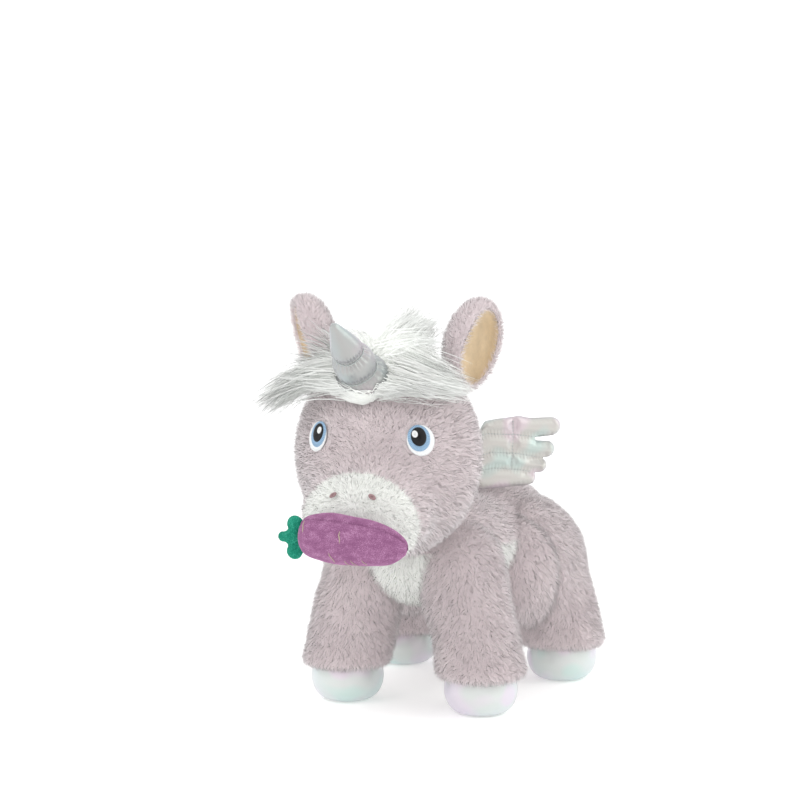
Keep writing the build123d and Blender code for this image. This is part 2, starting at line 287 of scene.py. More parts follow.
# ---- Materials ----------------------------------------------------------------------------
class Nodes:
    """Short calls for a material's node tree."""

    def __init__(self, name):
        self.material = bpy.data.materials.new(name)
        self.material.use_nodes = True
        self.tree = self.material.node_tree
        self.shader = self.tree.nodes["Principled BSDF"]

    def add(self, kind, **values):
        node = self.tree.nodes.new("ShaderNode" + kind)
        for key, value in values.items():
            if hasattr(node, key):
                setattr(node, key, value)
            else:
                node.inputs[key.replace("_", " ")].default_value = value
        return node

    def link(self, output, target):
        self.tree.links.new(output, target)

    def set(self, **values):
        for key, value in values.items():
            self.shader.inputs[key.replace("_", " ")].default_value = value

    def colour(self, output):
        self.link(output, self.shader.inputs["Base Color"])

    def ramp(self, factor, stops):
        node = self.add("ValToRGB")
        elements = node.color_ramp.elements
        while len(elements) < len(stops):
            elements.new(0.5)
        for element, (place_on_ramp, colour) in zip(elements, stops):
            element.position = place_on_ramp
            element.color = (*colour, 1)
        self.link(factor, node.inputs[0])
        return node.outputs[0]

    def mix(self, factor, a, b, blend="MIX"):
        node = self.add("MixRGB", blend_type=blend)
        for socket, value in zip(node.inputs, (factor, a, b)):
            if isinstance(value, bpy.types.NodeSocket):
                self.link(value, socket)
            elif isinstance(value, tuple):
                socket.default_value = (*value, 1)
            else:
                socket.default_value = value
        return node.outputs[0]

    def noise(self, scale, detail=3.0, stretch=(1, 1, 1)):
        spread = self.add("Mapping", Scale=stretch)
        self.link(self.add("TexCoord").outputs["Object"], spread.inputs["Vector"])
        node = self.add("TexNoise", Scale=scale, Detail=detail)
        self.link(spread.outputs[0], node.inputs["Vector"])
        return node.outputs["Fac"]

    def attribute(self, name):
        """The three channels of a colour attribute."""
        parts = self.add("SeparateColor")
        self.link(self.add("Attribute", attribute_name=name).outputs["Color"], parts.inputs[0])
        return parts.outputs

    def bump(self, height, strength, distance=0.001):
        node = self.add("Bump", Strength=strength, Distance=distance)
        self.link(height, node.inputs["Height"])
        self.link(node.outputs[0], self.shader.inputs["Normal"])


def linear(r, g, b):
    """A colour as an eye sees it, 0 to 255, as the linear values that a shader takes."""
    seen = [c / 255 for c in (r, g, b)]
    return tuple(c / 12.92 if c <= 0.04045 else ((c + 0.055) / 1.055) ** 2.4 for c in seen)


def shaded(colour, by):
    return tuple(min(1.0, c * by) for c in colour)


WHITEST = (1.0, 1.0, 1.0)


def fur_material(name, root, tip, sheen, painted_glow=0.34):
    """Pile: a little darker at its foot, lighter at its ends, each blade a little different, and darkened with
    painted shade in its creases.
    """
    nodes = Nodes(name)
    along, tint, painted_crease = nodes.attribute("pile")
    between = tuple((r + t) / 2 for r, t in zip(root, tip))
    colour = nodes.ramp(along, [(0.0, root), (0.4, between), (1.0, tip)])
    tints = nodes.ramp(tint, [(0.0, (0.82, 0.80, 0.80)), (0.5, (0.97, 0.96, 0.96)), (1.0, WHITEST)])
    colour = nodes.mix(1.0, colour, tints, "MULTIPLY")
    patch = nodes.ramp(nodes.noise(34.0), [(0.35, (0.93, 0.92, 0.93)), (0.65, WHITEST)])
    colour = nodes.mix(1.0, colour, patch, "MULTIPLY")
    # painted shade: blades in the folds are darkened towards half their root colour
    nodes.colour(nodes.mix(painted_crease, colour, shaded(root, 0.5)))
    # painted light: the pile glows, most at its foot, standing in for light that its fibres let through from
    # the blades around them
    painted_glow_colour = nodes.mix(along, shaded(root, painted_glow), shaded(tip, painted_glow * 0.1))
    nodes.link(painted_glow_colour, nodes.shader.inputs["Emission Color"])
    nodes.set(Roughness=0.8, Sheen_Weight=sheen, Sheen_Roughness=0.6, Specular_IOR_Level=0.15,
              Emission_Strength=0.75)
    return nodes.material


def backing_material(name, colour):
    """The knitted backing under the pile."""
    nodes = Nodes(name)
    grain = nodes.noise(900.0, 2.0)
    nodes.colour(nodes.ramp(grain, [(0.3, shaded(colour, 0.85)), (0.7, colour)]))
    nodes.bump(grain, 0.5, 0.001)
    nodes.set(Roughness=0.9, Sheen_Weight=0.4)
    return nodes.material


def pearl_material(name, base, mint, lilac, roughness):
    """Pearl satin: painted reflections in cool mint and lilac patches, a thin film, and a fine woven grain.

    base, mint and lilac are colours as an eye sees them.
    """
    base, mint, lilac = linear(*base), linear(*mint), linear(*lilac)
    nodes = Nodes(name)
    # painted reflection: mint and lilac patches in the base colour
    painted_reflections = nodes.ramp(nodes.noise(24.0, 1.0), [(0.38, mint), (0.47, base), (0.56, base), (0.64, lilac)])
    fine = nodes.noise(1500.0, 2.0)
    nodes.colour(nodes.mix(0.25, painted_reflections, nodes.ramp(fine, [(0.3, shaded(base, 0.85)), (0.7, base)])))
    height = nodes.add("Math", operation="ADD")
    nodes.link(nodes.noise(60.0, 4.0), height.inputs[0])
    nodes.link(fine, height.inputs[1])
    nodes.bump(height.outputs[0], 0.12, 0.0015)
    nodes.set(Metallic=0.2, Roughness=roughness, Coat_Weight=0.5, Coat_Roughness=0.22)
    nodes.set(Thin_Film_Thickness=420.0, Thin_Film_IOR=1.42, Sheen_Weight=0.15)
    return nodes.material


def thread_material(name, colour, contrast=0.75, shine=0.4):
    """Embroidery: painted shade in a dark line between stitches and a painted highlight on them, from the
    ridges made in the mesh.
    """
    nodes = Nodes(name)
    ridge = nodes.attribute("pile")[0]
    # painted shade in the grooves between stitches, painted highlight on their crests
    stops = [(0.0, shaded(colour, contrast)), (0.6, colour), (1.0, shaded(colour, 1.12))]
    stitched = nodes.ramp(ridge, stops)
    fuzz = nodes.ramp(nodes.noise(1200.0, 2.0), [(0.3, (0.86, 0.86, 0.86)), (0.7, WHITEST)])
    nodes.colour(nodes.mix(1.0, stitched, fuzz, "MULTIPLY"))
    nodes.bump(nodes.noise(2200.0, 2.0), 0.3, 0.0004)
    nodes.set(Roughness=1 - shine, Sheen_Weight=0.2, Specular_IOR_Level=0.5)
    return nodes.material


def velvet_material(name, deep, nap_sheen, grain=520.0):
    """Short pile with painted sheen: lighter in small flecks and brushed patches, with painted shade between
    them.
    """
    nodes = Nodes(name)
    fleck = nodes.noise(grain * 3, 3.0)
    brushed = nodes.noise(130.0, 4.0, (1, 1, 1.6))
    both = nodes.mix(0.35, fleck, brushed)
    # painted sheen and shade: lighter in flecks and brushed patches, darker between them
    nodes.colour(nodes.ramp(both, [(0.36, shaded(deep, 0.8)), (0.5, deep), (0.66, nap_sheen)]))
    nodes.bump(fleck, 0.35, 0.0012)
    nodes.set(Roughness=0.85, Sheen_Weight=0.9, Sheen_Roughness=0.35, Specular_IOR_Level=0.2)
    nodes.shader.inputs["Sheen Tint"].default_value = (*nap_sheen, 1)
    return nodes.material


def satin_material(name, colour):
    """The brushed satin of the ear linings, with faint creases: painted shade in their hollows, painted
    highlight on their ridges.
    """
    nodes = Nodes(name)
    painted_crease = nodes.noise(110.0, 4.0, (1, 1, 0.4))
    grain = nodes.noise(1800.0, 2.0, (1, 1, 0.2))
    # painted shade in the hollows of the creases and painted highlight on their ridges
    colours = nodes.ramp(painted_crease, [(0.3, shaded(colour, 0.84)), (0.65, shaded(colour, 1.06))])
    weave = nodes.ramp(grain, [(0.3, (0.92, 0.92, 0.92)), (0.7, WHITEST)])
    nodes.colour(nodes.mix(1.0, colours, weave, "MULTIPLY"))
    nodes.bump(painted_crease, 0.25, 0.003)
    nodes.set(Roughness=0.55, Sheen_Weight=0.35, Specular_IOR_Level=0.35)
    return nodes.material


MAUVE_ROOT, MAUVE_TIP = linear(222, 212, 213), linear(228, 216, 218)
WHITE_ROOT, WHITE_TIP = linear(244, 246, 242), linear(245, 247, 243)
STRAND_ROOT, STRAND_TIP = linear(238, 241, 237), linear(235, 239, 236)
MAUVE = fur_material("mauve_pile", MAUVE_ROOT, MAUVE_TIP, 1.0)
WHITE = fur_material("white_pile", WHITE_ROOT, WHITE_TIP, 0.4)
STRANDS = fur_material("long_white_pile", STRAND_ROOT, STRAND_TIP, 0.3, 0.4)
MAUVE_BACKING = backing_material("mauve_backing", MAUVE_ROOT)
WHITE_BACKING = backing_material("white_backing", WHITE_ROOT)
CREAM = satin_material("cream_satin", linear(220, 200, 168))
HOOF_PEARL = pearl_material("hoof_pearl", (208, 213, 212), (196, 217, 213), (219, 206, 220), 0.3)
HORN_PEARL = pearl_material("horn_pearl", (164, 164, 165), (160, 168, 168), (176, 163, 171), 0.22)
WING_PEARL = pearl_material("wing_pearl", (191, 188, 185), (180, 197, 194), (203, 187, 196), 0.32)
PURPLE = velvet_material("purple_velvet", linear(138, 88, 126), linear(184, 138, 172))
TEAL = velvet_material("teal_velour", linear(16, 122, 98), linear(64, 168, 142), 380.0)
PALE_THREAD = thread_material("pale_thread", linear(206, 214, 212), 0.7)
WHITE_THREAD = thread_material("white_thread", linear(236, 238, 238), 0.86)
BLUE_THREAD = thread_material("blue_thread", linear(142, 176, 206), 0.6)
BLACK_THREAD = thread_material("black_thread", linear(6, 5, 9), 0.75, 0.15)
NOSE_THREAD = thread_material("nose_thread", linear(158, 126, 128), 0.8)
OLIVE_THREAD = thread_material("olive_thread", linear(200, 186, 160), 0.8)


# ---- Pile ---------------------------------------------------------------------------------
BLADES_IN_A_PIECE = 66000


def triangle_corners(points, faces):
    return tuple(points[np.array(faces)[:, corner]] for corner in range(3))


def scatter(points, faces, count, normals=None):
    """Random points on a triangle mesh, evenly over its area, with their normals if it has them."""
    tri = np.array(faces)
    a, b, c = triangle_corners(points, faces)
    area = np.linalg.norm(np.cross(b - a, c - a), axis=1)
    pick = RNG.choice(len(tri), count, p=area / area.sum())
    u, v = RNG.random((2, count))
    over = u + v > 1
    u[over], v[over] = 1 - u[over], 1 - v[over]
    roots = a[pick] + u[:, None] * (b - a)[pick] + v[:, None] * (c - a)[pick]
    if normals is None:
        return roots
    na, nb, nc = triangle_corners(normals, tri[pick])
    return roots, unit(na * (1 - u - v)[:, None] + nb * u[:, None] + nc * v[:, None])


def surface_area(points, faces):
    a, b, c = triangle_corners(points, faces)
    return np.linalg.norm(np.cross(b - a, c - a), axis=1).sum() / 2


def tree_of(places):
    """A search tree of points, each with its place in the list."""
    tree = KDTree(len(places))
    for k, p in enumerate(places):
        tree.insert(p, k)
    tree.balance()
    return tree


def gather(roots, tips, spacing, pull):
    """Draws the tips of neighbouring blades together, as tufts."""
    count = max(1, int(len(roots) / spacing))
    chosen = RNG.choice(len(roots), count, replace=False)
    tree = tree_of(roots[chosen])
    nearest = chosen[np.array([tree.find(root)[1] for root in roots])]
    return tips + (tips[nearest] - tips) * pull[:, None]


def ribbons(name, lines, across, widths, normals, tint, painted_crease):
    """One mesh of tapered ribbons. lines is (count, rings, 3): the last ring is each one's point."""
    count, rings = lines.shape[:2]
    each = 2 * rings - 1
    half = across[:, None] * (widths[:, None] * np.linspace(1, 0.45, rings - 1))[:, :, None] / 2
    sides = np.stack([lines[:, :-1] - half, lines[:, :-1] + half], 2).reshape(count, -1, 3)
    points = np.concatenate([sides, lines[:, -1:]], 1).reshape(-1, 3)
    steps = np.linspace(0, 1, rings)
    along = np.tile(np.append(np.repeat(steps[:-1], 2), 1.0), count)
    base = np.arange(count)[:, None] * each
    quad = np.concatenate([2 * k + np.array([0, 1, 3, 2]) for k in range(rings - 2)])
    quads = (base + quad).reshape(-1, 4)
    ends = base + np.array([each - 3, each - 2, each - 1])
    mesh = bpy.data.meshes.new(name)
    mesh.vertices.add(len(points))
    mesh.vertices.foreach_set("co", (points * MM).astype(np.float32).ravel())
    loops = np.concatenate([quads.ravel(), ends.ravel()]).astype(np.int32)
    starts = np.concatenate([np.arange(len(quads)) * 4, len(quads) * 4 + np.arange(count) * 3])
    mesh.loops.add(len(loops))
    mesh.loops.foreach_set("vertex_index", loops)
    mesh.polygons.add(len(starts))
    mesh.polygons.foreach_set("loop_start", starts.astype(np.int32))
    mesh.polygons.foreach_set("use_smooth", np.ones(len(starts), bool))
    mesh.update(calc_edges=True)
    tints = np.repeat(tint, each)
    # the pile attribute: place along the blade, its tint, and how much painted shade it gets
    facts = np.stack([along, tints, np.repeat(painted_crease, each), np.ones(len(points))], 1)
    layer = mesh.attributes.new("pile", "FLOAT_COLOR", "POINT")
    layer.data.foreach_set("color", facts.astype(np.float32).ravel())
    # every ribbon of one tint shares a column of the colour map, from its root up to its point
    column = 0.02 + 0.9 * tints + 0.02 * (np.arange(len(points)) % 2)
    place_on_map = np.stack([column, 0.02 + 0.96 * along], 1)
    chart = mesh.uv_layers.new(name="OFBake")
    chart.data.foreach_set("uv", place_on_map[loops].astype(np.float32).ravel())
    mesh.normals_split_custom_set_from_vertices(unit(np.repeat(normals, each, axis=0)).tolist())
    obj = bpy.data.objects.new(name, mesh)
    bpy.context.scene.collection.objects.link(obj)
    return obj


TUFT = 11                        # blades in a tuft, whose tips are drawn together
TUFT_PULL, TUFT_PULL_SPREAD = 0.03, 0.12
DROOP = 0.12
DISORDER = 0.42                  # how much the blades' directions differ


def blades(name, roots, normals, comb, length, lift, painted_crease):
    """Short pile: blades that lean along comb, curl over at their ends and gather in small tufts."""
    count = len(roots)
    flat = unit(comb - normals * np.sum(comb * normals, axis=1, keepdims=True) + 1e-6)
    raised = (lift + RNG.normal(size=count) * 0.08)[:, None]
    start = unit(normals * raised + flat * (1 - raised) + RNG.normal(size=(count, 3)) * DISORDER)
    reach = (length * RNG.uniform(0.7, 1.15, count))[:, None]
    fall = np.array((0, 0, -1.0)) * DROOP
    tips = roots + start * reach + (flat * 0.3 + fall - normals * 0.1) * reach
    tips = gather(roots, tips, TUFT, np.clip(RNG.normal(TUFT_PULL, TUFT_PULL_SPREAD, count), 0, 0.6))
    bend = roots + start * reach * 0.3 + (tips - roots) * 0.25
    across = unit(np.cross(start, unit(normals + RNG.normal(size=(count, 3)) * 0.4)))
    face_on = unit(np.cross(across, start))
    face_on *= np.sign(np.sum(face_on * normals, axis=1, keepdims=True) + 1e-9)
    shading = normals * 0.93 + face_on * 0.07
    tint = RNG.random(count)
    widths = (0.36 + 0.02 * length) * RNG.uniform(0.8, 1.2, count)
    made = []
    for part, first in enumerate(range(0, count, BLADES_IN_A_PIECE)):
        some = slice(first, first + BLADES_IN_A_PIECE)
        lines = np.stack([roots[some], bend[some], tips[some]], 1)
        made.append(ribbons(f"{name}_{part + 1}", lines, across[some], widths[some], shading[some],
                            tint[some], painted_crease[some]))
    return made


# ---- The furry bodies ---------------------------------------------------------------------
PILE = 6.0                       # how far the pile stands out from the skin
STUFFED = 0.8                    # fill of the head, trunk and legs
PILE_DENSITY = 1.9               # blades on each square millimetre
PILE_LIFT = 0.68                 # how upright it stands: 0 is flat along the comb, 1 is straight out
ORIGIN = NECK - np.array((0, -98, 190))


def place(x, y, z):
    return np.array((x, y, z), float) + ORIGIN


# each swelling's middle and half sizes, to the ends of the pile
BARREL = ((0, 8, 143), (78, 104, 54))
CHEST = ((0, -60, 148), (70, 66, 56))
RUMP = ((0, 58, 143), (79, 68, 61))
SKULL = ((-1, -41, 53), (85, 64, 94))
FACE = ((0, -60, 50), (71, 61, 80))
MUZZLE = ((0, -104, 8), (60, 45, 46))
HEAD_MIDDLE = np.array((0, -49, 53.0))


def trunk_field(p):
    barrel, chest, rump = (ellipsoid(p, place(*at), half) for at, half in (BARREL, CHEST, RUMP))
    return join(join(barrel, chest, 30), rump, 30) + PILE


def head_field(p):
    skull, face, muzzle = (ellipsoid(to_head(p), at, half) for at, half in (SKULL, FACE, MUZZLE))
    return join(join(skull, face, 18), muzzle, 20) + PILE


LEGS = {}
LEG_SHAPES = (("front", (45, -79, 138), (67.6, -79.4, 40), (42, 41.5)),
              ("rear", (54, 78, 118), (84.0, 79.4, 40), (52, 40)))
HAUNCH, HAUNCH_HALF = (56, 42, 122), (50, 66, 64)      # the thigh's stuffed upper part
for row, start, end, radii in LEG_SHAPES:
    for side_name, side in (("left", 1), ("right", -1)):
        sided = np.array((side, 1, 1))
        LEGS[f"{row}_{side_name}"] = (place(*(start * sided)), place(*(end * sided)), *radii)
CUFF_HEIGHT = 36.0
THIGH_SEAM = ((61, 10, 168), (70, 22, 151), (80, 29, 126), (86, 33, 104), (91, 38, 80), (90, 38, 50))


def thigh_seam(side):
    return np.array(THIGH_SEAM) * (side, 1, 1) + ORIGIN


def seam_distance(p, side):
    """How far a point is from the thigh's seam, seen from the side; far away on the inner side."""
    seen = near_line(p[:, 1:], thigh_seam(side)[:, 1:])
    return np.where((p[:, 0] - ORIGIN[0]) * side > 45, seen, 99.0)


def leg_field(name):
    start, end, top, cuff = LEGS[name]
    side = 1 if "left" in name else -1

    def field(p):
        flare = (1.0 if "rear" in name else 3.5) * np.clip((62 - p[:, 2]) / 26, 0, 1) ** 1.5
        sleeve = limb(p, start, end + (end - start) * 0.3, top, cuff) + PILE - flare
        sleeve += 1.4 * wave(p, 55.0, 31 if side > 0 else 37)
        if "rear" in name:
            haunch = ellipsoid(p, ORIGIN + np.array(HAUNCH) * (side, 1, 1), HAUNCH_HALF) + PILE
            sleeve = join(sleeve, haunch, 22)
            sleeve += 3.6 * np.exp(-(seam_distance(p, side) / 4.0) ** 2)
        return cut(sleeve, p[:, 2] - CUFF_HEIGHT, 5)
    return field


FIELDS = {"trunk": trunk_field, "head": head_field, **{f"{name}_leg": leg_field(name) for name in LEGS}}


def hidden(roots, body, margin=8.0):
    """True for what lies deep inside another furry body."""
    inside = np.zeros(len(roots), bool)
    for other, field in FIELDS.items():
        if other != body:
            inside |= field(roots) < -margin
    return inside


def nothing(p):
    return np.zeros(len(p))


def nowhere(p):
    return np.zeros(len(p), bool)


def everywhere(p):
    return np.ones(len(p), bool)


def furry(body, field, centre, comb, length, zones, level=5, painted_crease=nothing, bare=nowhere, lift=PILE_LIFT):
    """A soft skin and its pile. zones: (suffix, where it grows, pile material, slot)."""
    points, faces = wrap(field, centre, level)
    roots = scatter(points, faces, int(surface_area(points, faces) * PILE_DENSITY))
    roots = roots[~hidden(roots, body) & ~bare(roots)]
    normals = slope_of(field, roots)
    swirl = np.stack([wave(roots, 40, seed) for seed in (1, 2, 3)], 1)
    combed = unit(comb(roots)) + swirl * 0.3
    # how much painted shade each blade gets where the pile folds
    sizes, painted_shade = length(roots), painted_crease(roots)
    for suffix, grows, pile, slot in zones:
        here = grows(roots)
        grown = [values[here] for values in (roots, normals, combed, sizes)]
        for part in blades(f"{body}_{suffix}", *grown, lift, painted_shade[here]):
            finish_piece(part, body, slot, pile)
    return points, faces


# -- the head
EYE_SPOTS = {"left": np.array((48, -101, 74.5)), "right": np.array((-45.5, -101, 74.5))}
EYE_OUT = math.radians(43)
HORN_FOOT = np.array((-6, -92, 112.0))           # the middle of the bare place that the horn covers


def eye_way(side):
    return np.array((side * math.sin(EYE_OUT), -math.cos(EYE_OUT), 0.1))


def on_head(start, way, level):
    """Points of the head's own axes moved along a direction until they stand that far off its skin."""
    start, way = np.atleast_2d(start), unit(np.asarray(way, float))
    low, high = np.full(len(start), -40.0), np.full(len(start), 40.0)
    for _ in range(30):
        half = (low + high) / 2
        inside = head_field(from_head(start + way * half[:, None])) < level
        low, high = np.where(inside, half, low), np.where(inside, high, half)
    return start + way * low[:, None]


EYES = {name: on_head(spot, eye_way(1 if name == "left" else -1), 3)[0] for name, spot in EYE_SPOTS.items()}
NOSTRIL_WAY = (0, -1, 0.25)
NOSTRILS = {side: on_head((side * 17.5, -120, 23.5), NOSTRIL_WAY, 4)[0] for side in (1, -1)}


def head_comb(p):
    q = to_head(p)
    away = unit(q - np.array((0, -150, 25.0)))
    away[:, 2] -= 0.35 * (q[:, 1] > -60)
    for spot in EYES.values():
        off = q - spot
        near = np.linalg.norm(off, axis=1, keepdims=True)
        away += off / near * 2.5 * np.exp(-((near - 13) / 6) ** 2)
    return turn(away, (0, 0, 1), HEAD_TURN)


def within(q, centre, half):
    return np.linalg.norm((q - np.array(centre)) / np.array(half), axis=1) < 1


def crown_zone(p):
    """Where the long pile grows, over the brow and down the back of the head."""
    q = to_head(p)
    middle_back = (np.abs(q[:, 0]) < 24) & (q[:, 2] > 60) & (q[:, 1] > -60)
    return middle_back | within(q, (-2, -80, 128), (46, 44, 24))


def muzzle_zone(p):
    return within(to_head(p), (0, -142, -2), (58, 56, 50))


def head_length(p):
    q = to_head(p)
    face = np.clip((q[:, 1] + 60) / -50, 0, 1)
    length = 9 - 2.8 * face - 1.0 * muzzle_zone(p)
    for spot in EYES.values():
        length *= 1 - 0.45 * np.exp(-((np.linalg.norm(q - spot, axis=1) - 13) / 5) ** 2)
    for spot in NOSTRILS.values():
        length *= 1 - 0.5 * np.exp(-(np.linalg.norm(q - spot, axis=1) / 7) ** 2)
    return length


def head_bare(p):
    q = to_head(p)
    bare = np.linalg.norm(q - HORN_FOOT, axis=1) < 17
    for spot in EYES.values():
        bare |= np.linalg.norm(q - spot, axis=1) < 12.2
    for spot in NOSTRILS.values():
        bare |= np.linalg.norm(q - spot, axis=1) < 2.6
    return bare


def head_painted_shade(p):
    """Painted shade in a line beyond each eye, where the brow looks pinched, and in a patch above each
    nostril.
    """
    q = to_head(p)
    mark = np.zeros(len(q))
    for side in (1, -1):
        brow = near_line(q, [(side * 47, -98, 92), (side * 55, -93, 93), (side * 61, -85, 88)])
        mark += 0.55 * np.exp(-(brow / 1.6) ** 2)
    for side, spot in NOSTRILS.items():
        mark += 0.22 * np.exp(-(np.linalg.norm(q - spot - np.array((-side * 2, 4, 8)), axis=1) / 6) ** 2)
    return np.clip(mark, 0, 1)


def build_head():
    def mauve_zone(p):
        return ~muzzle_zone(p) & ~crown_zone(p)
    zones = (("fur", mauve_zone, MAUVE, "mauve_fur"), ("muzzle_fur", muzzle_zone, WHITE, "white_fur"),
             ("crown_fur", crown_zone, STRANDS, "long_white_fur"))
    points, faces = furry("head", head_field, from_head(HEAD_MIDDLE), head_comb, head_length, zones, 6,
                          head_painted_shade, head_bare, lift=0.72)
    nodes = ("head_cover", "head_filling", "muzzle_panel", "muzzle_magnet")
    skin = piece("head_skin", points, faces, "head", "mauve_fur", MAUVE_BACKING, nodes, STUFFED)
    second_skin(skin, lambda p: muzzle_zone(p) | crown_zone(p), WHITE_BACKING)


# -- the trunk
def belly_zone(p):
    q = p - ORIGIN
    return (q[:, 2] < 150) & (q[:, 1] < 62)


def build_trunk():
    def swept_back(p):
        return np.tile(np.array((0, 0.6, -0.8)), (len(p), 1)) + np.array((0.5, 0, 0)) * np.sign(p[:, :1])

    def back_zone(p):
        return ~belly_zone(p)

    def length(p):
        return np.full(len(p), 8.0)

    # painted shade along the seams where the thighs meet the trunk
    def painted_crease(p):
        seams = [seam_distance(p, side) for side in (1, -1)]
        return 0.7 * np.exp(-(np.min(seams, axis=0) / 2.6) ** 2)
    zones = (("fur", back_zone, MAUVE, "mauve_fur"), ("belly_fur", belly_zone, WHITE, "white_fur"))
    points, faces = furry("trunk", trunk_field, place(0, 8, 143), swept_back, length, zones, painted_crease=painted_crease)
    nodes = ("trunk_cover", "trunk_filling", "belly_panel")
    skin = piece("trunk_skin", points, faces, "trunk", "mauve_fur", MAUVE_BACKING, nodes, STUFFED)
    second_skin(skin, belly_zone, WHITE_BACKING)


# -- the legs
def build_legs():
    def down(p):
        return np.tile(np.array((0, 0.05, -1.0)), (len(p), 1))

    def length(p):
        return 8.2 - 2.4 * np.clip((60 - p[:, 2]) / 24, 0, 1)
    for name, (start, end, *_) in LEGS.items():
        side = 1 if "left" in name else -1

        # painted shade along the thigh seam, on top of the groove that the leg's shape has there
        def painted_crease(p):
            if "front" in name:
                return np.zeros(len(p))
            return 0.95 * np.exp(-(seam_distance(p, side) / 2.6) ** 2)
        zones = (("fur", everywhere, MAUVE, "mauve_fur"),)
        body = f"{name}_leg"
        points, faces = furry(body, FIELDS[body], (start + end) / 2, down, length, zones, painted_crease=painted_crease)
        nodes = (f"{body}_cover", f"{body}_filling")
        piece(f"{body}_skin", points, faces, body, "mauve_fur", MAUVE_BACKING, nodes, STUFFED)


# ---- Hooves -------------------------------------------------------------------------------
HOOF_PROFILE = ((17, 0), (24, 2.2), (29.5, 7.0), (33.0, 14), (34.2, 22), (32.5, 32), (28, 41), (18, 50),
                (6, 54))         # (radius, height)
HOOF_SIDES = 72


def smooth_profile(corners, count):
    """Evenly spaced points of a smooth curve through a few corners."""
    corners = np.array(corners, float)
    tangents = np.gradient(corners, axis=0)
    steps = np.linspace(0, len(corners) - 1.0001, count)
    k = steps.astype(int)
    t = (steps - k)[:, None]
    a, b, ta, tb = corners[k], corners[k + 1], tangents[k], tangents[k + 1]
    return ((2 * t ** 3 - 3 * t ** 2 + 1) * a + (t ** 3 - 2 * t ** 2 + t) * ta
            + (3 * t ** 2 - 2 * t ** 3) * b + (t ** 3 - t ** 2) * tb)


def end_faces(sides, rows):
    """The two faces that close a grid's first and last rows."""
    return [tuple(range(sides))[::-1], tuple(range((rows - 1) * sides, rows * sides))]


def turned(profile, sides):
    """Points and faces of a profile of (radius, height) turned about Z, closed at both ends."""
    angles = np.arange(sides) * 2 * math.pi / sides
    rows = [np.stack([r * np.cos(angles), r * np.sin(angles), np.full(sides, z)], 1) for r, z in profile]
    points = np.concatenate(rows)
    return points, grid_faces(len(profile), sides) + end_faces(sides, len(profile))


def build_hooves():
    profile = smooth_profile(HOOF_PROFILE, 34) * (0.985, 1)
    points, faces = turned(profile, HOOF_SIDES)
    pinned = (points[:, 2] < 0.6) | (points[:, 2] > 50)
    points = puff(points, faces, pinned, 3.0, 1.2)
    points[:, 2] = np.maximum(points[:, 2], 0)
    angle = np.arctan2(points[:, 1], points[:, 0])
    for turn_by, (name, (start, end, *_)) in enumerate(LEGS.items()):
        fold = 0.35 * np.sin(9 * angle + turn_by) * np.exp(-((points[:, 2] - 33) / 7) ** 2)
        shape = points * (1 + fold / 34)[:, None] * (1, 1, 0) + points * (0, 0, 1)
        shape = turn(shape, (0, 0, 1), 1.3 * turn_by) + np.array((end[0], end[1], 0))
        body = f"{name}_leg"
        nodes = (f"{name}_hoof_cover", f"{name}_hoof_filling")
        piece(f"{name}_hoof", shape, faces, body, "pearl_satin", HOOF_PEARL, nodes, 0.9)


# ---- Horn ---------------------------------------------------------------------------------
HORN_BASE = np.array((-5, -90, 119.0))
HORN_TIP = np.array((-14, -147, 174.0))
HORN_GATHERS = (0.25, 0.52)       # where thread pulls it in, along its length
HORN_PROFILE = ((0, 21), (0.09, 23.6), (0.18, 21.5), (0.25, 17.2), (0.33, 18.6), (0.43, 17.4), (0.52, 12.8),
                (0.6, 13.4), (0.72, 10.6), (0.86, 6.6), (0.96, 3.6), (1.0, 0.6))   # (along it, radius)


def horn_frame():
    """The horn's own axes: two across it and one along it, in the head's axes."""
    along = unit(HORN_TIP - HORN_BASE)
    side = unit(np.cross(along, (0, 0, 1.0)))
    return side, np.cross(side, along), along


def horn_ring(angle):
    """The directions out of the horn at some angles round it, and the direction along it."""
    side, up, along = horn_frame()
    return np.cos(angle)[:, None] * side + np.sin(angle)[:, None] * up, along


def gather_line(place_on_horn, angle):
    """A gathering thread's place along the horn: it isn't quite square to it."""
    return place_on_horn + 0.012 * np.sin(angle + 0.6)


def on_horn(radius, angle, t):
    ring, along = horn_ring(angle)
    return HORN_BASE + along * (t * np.linalg.norm(HORN_TIP - HORN_BASE))[:, None] + ring * radius[:, None]


def horn_radius(t, angle):
    """Three stuffed swellings, puckered beside each gather."""
    curve = smooth_profile(HORN_PROFILE, 200)
    radius = np.interp(t, curve[:, 0], curve[:, 1])
    for place_on_horn in HORN_GATHERS:
        off = t - gather_line(place_on_horn, angle)
        ridges = np.cos(24 * angle + 2.5 * np.sin(3 * angle)) * (0.8 + 0.2 * np.sin(5 * angle))
        radius = radius + 0.7 * ridges * np.exp(-((np.abs(off) - 0.04) / 0.045) ** 2)
    return radius + 0.3 * np.sin(4 * angle + 5 * t)


def build_horn():
    sides, rows = 208, 120
    t = np.repeat(np.linspace(0, 1, rows), sides)
    angle = np.tile(np.arange(sides) * 2 * math.pi / sides, rows)
    points = from_head(on_horn(np.maximum(horn_radius(t, angle), 0.25), angle, t))
    faces = grid_faces(rows, sides) + end_faces(sides, rows)
    piece("horn", points, faces, "head", "horn_satin", HORN_PEARL, ("horn_cover", "horn_filling"), 0.95)
    build_horn_thread()


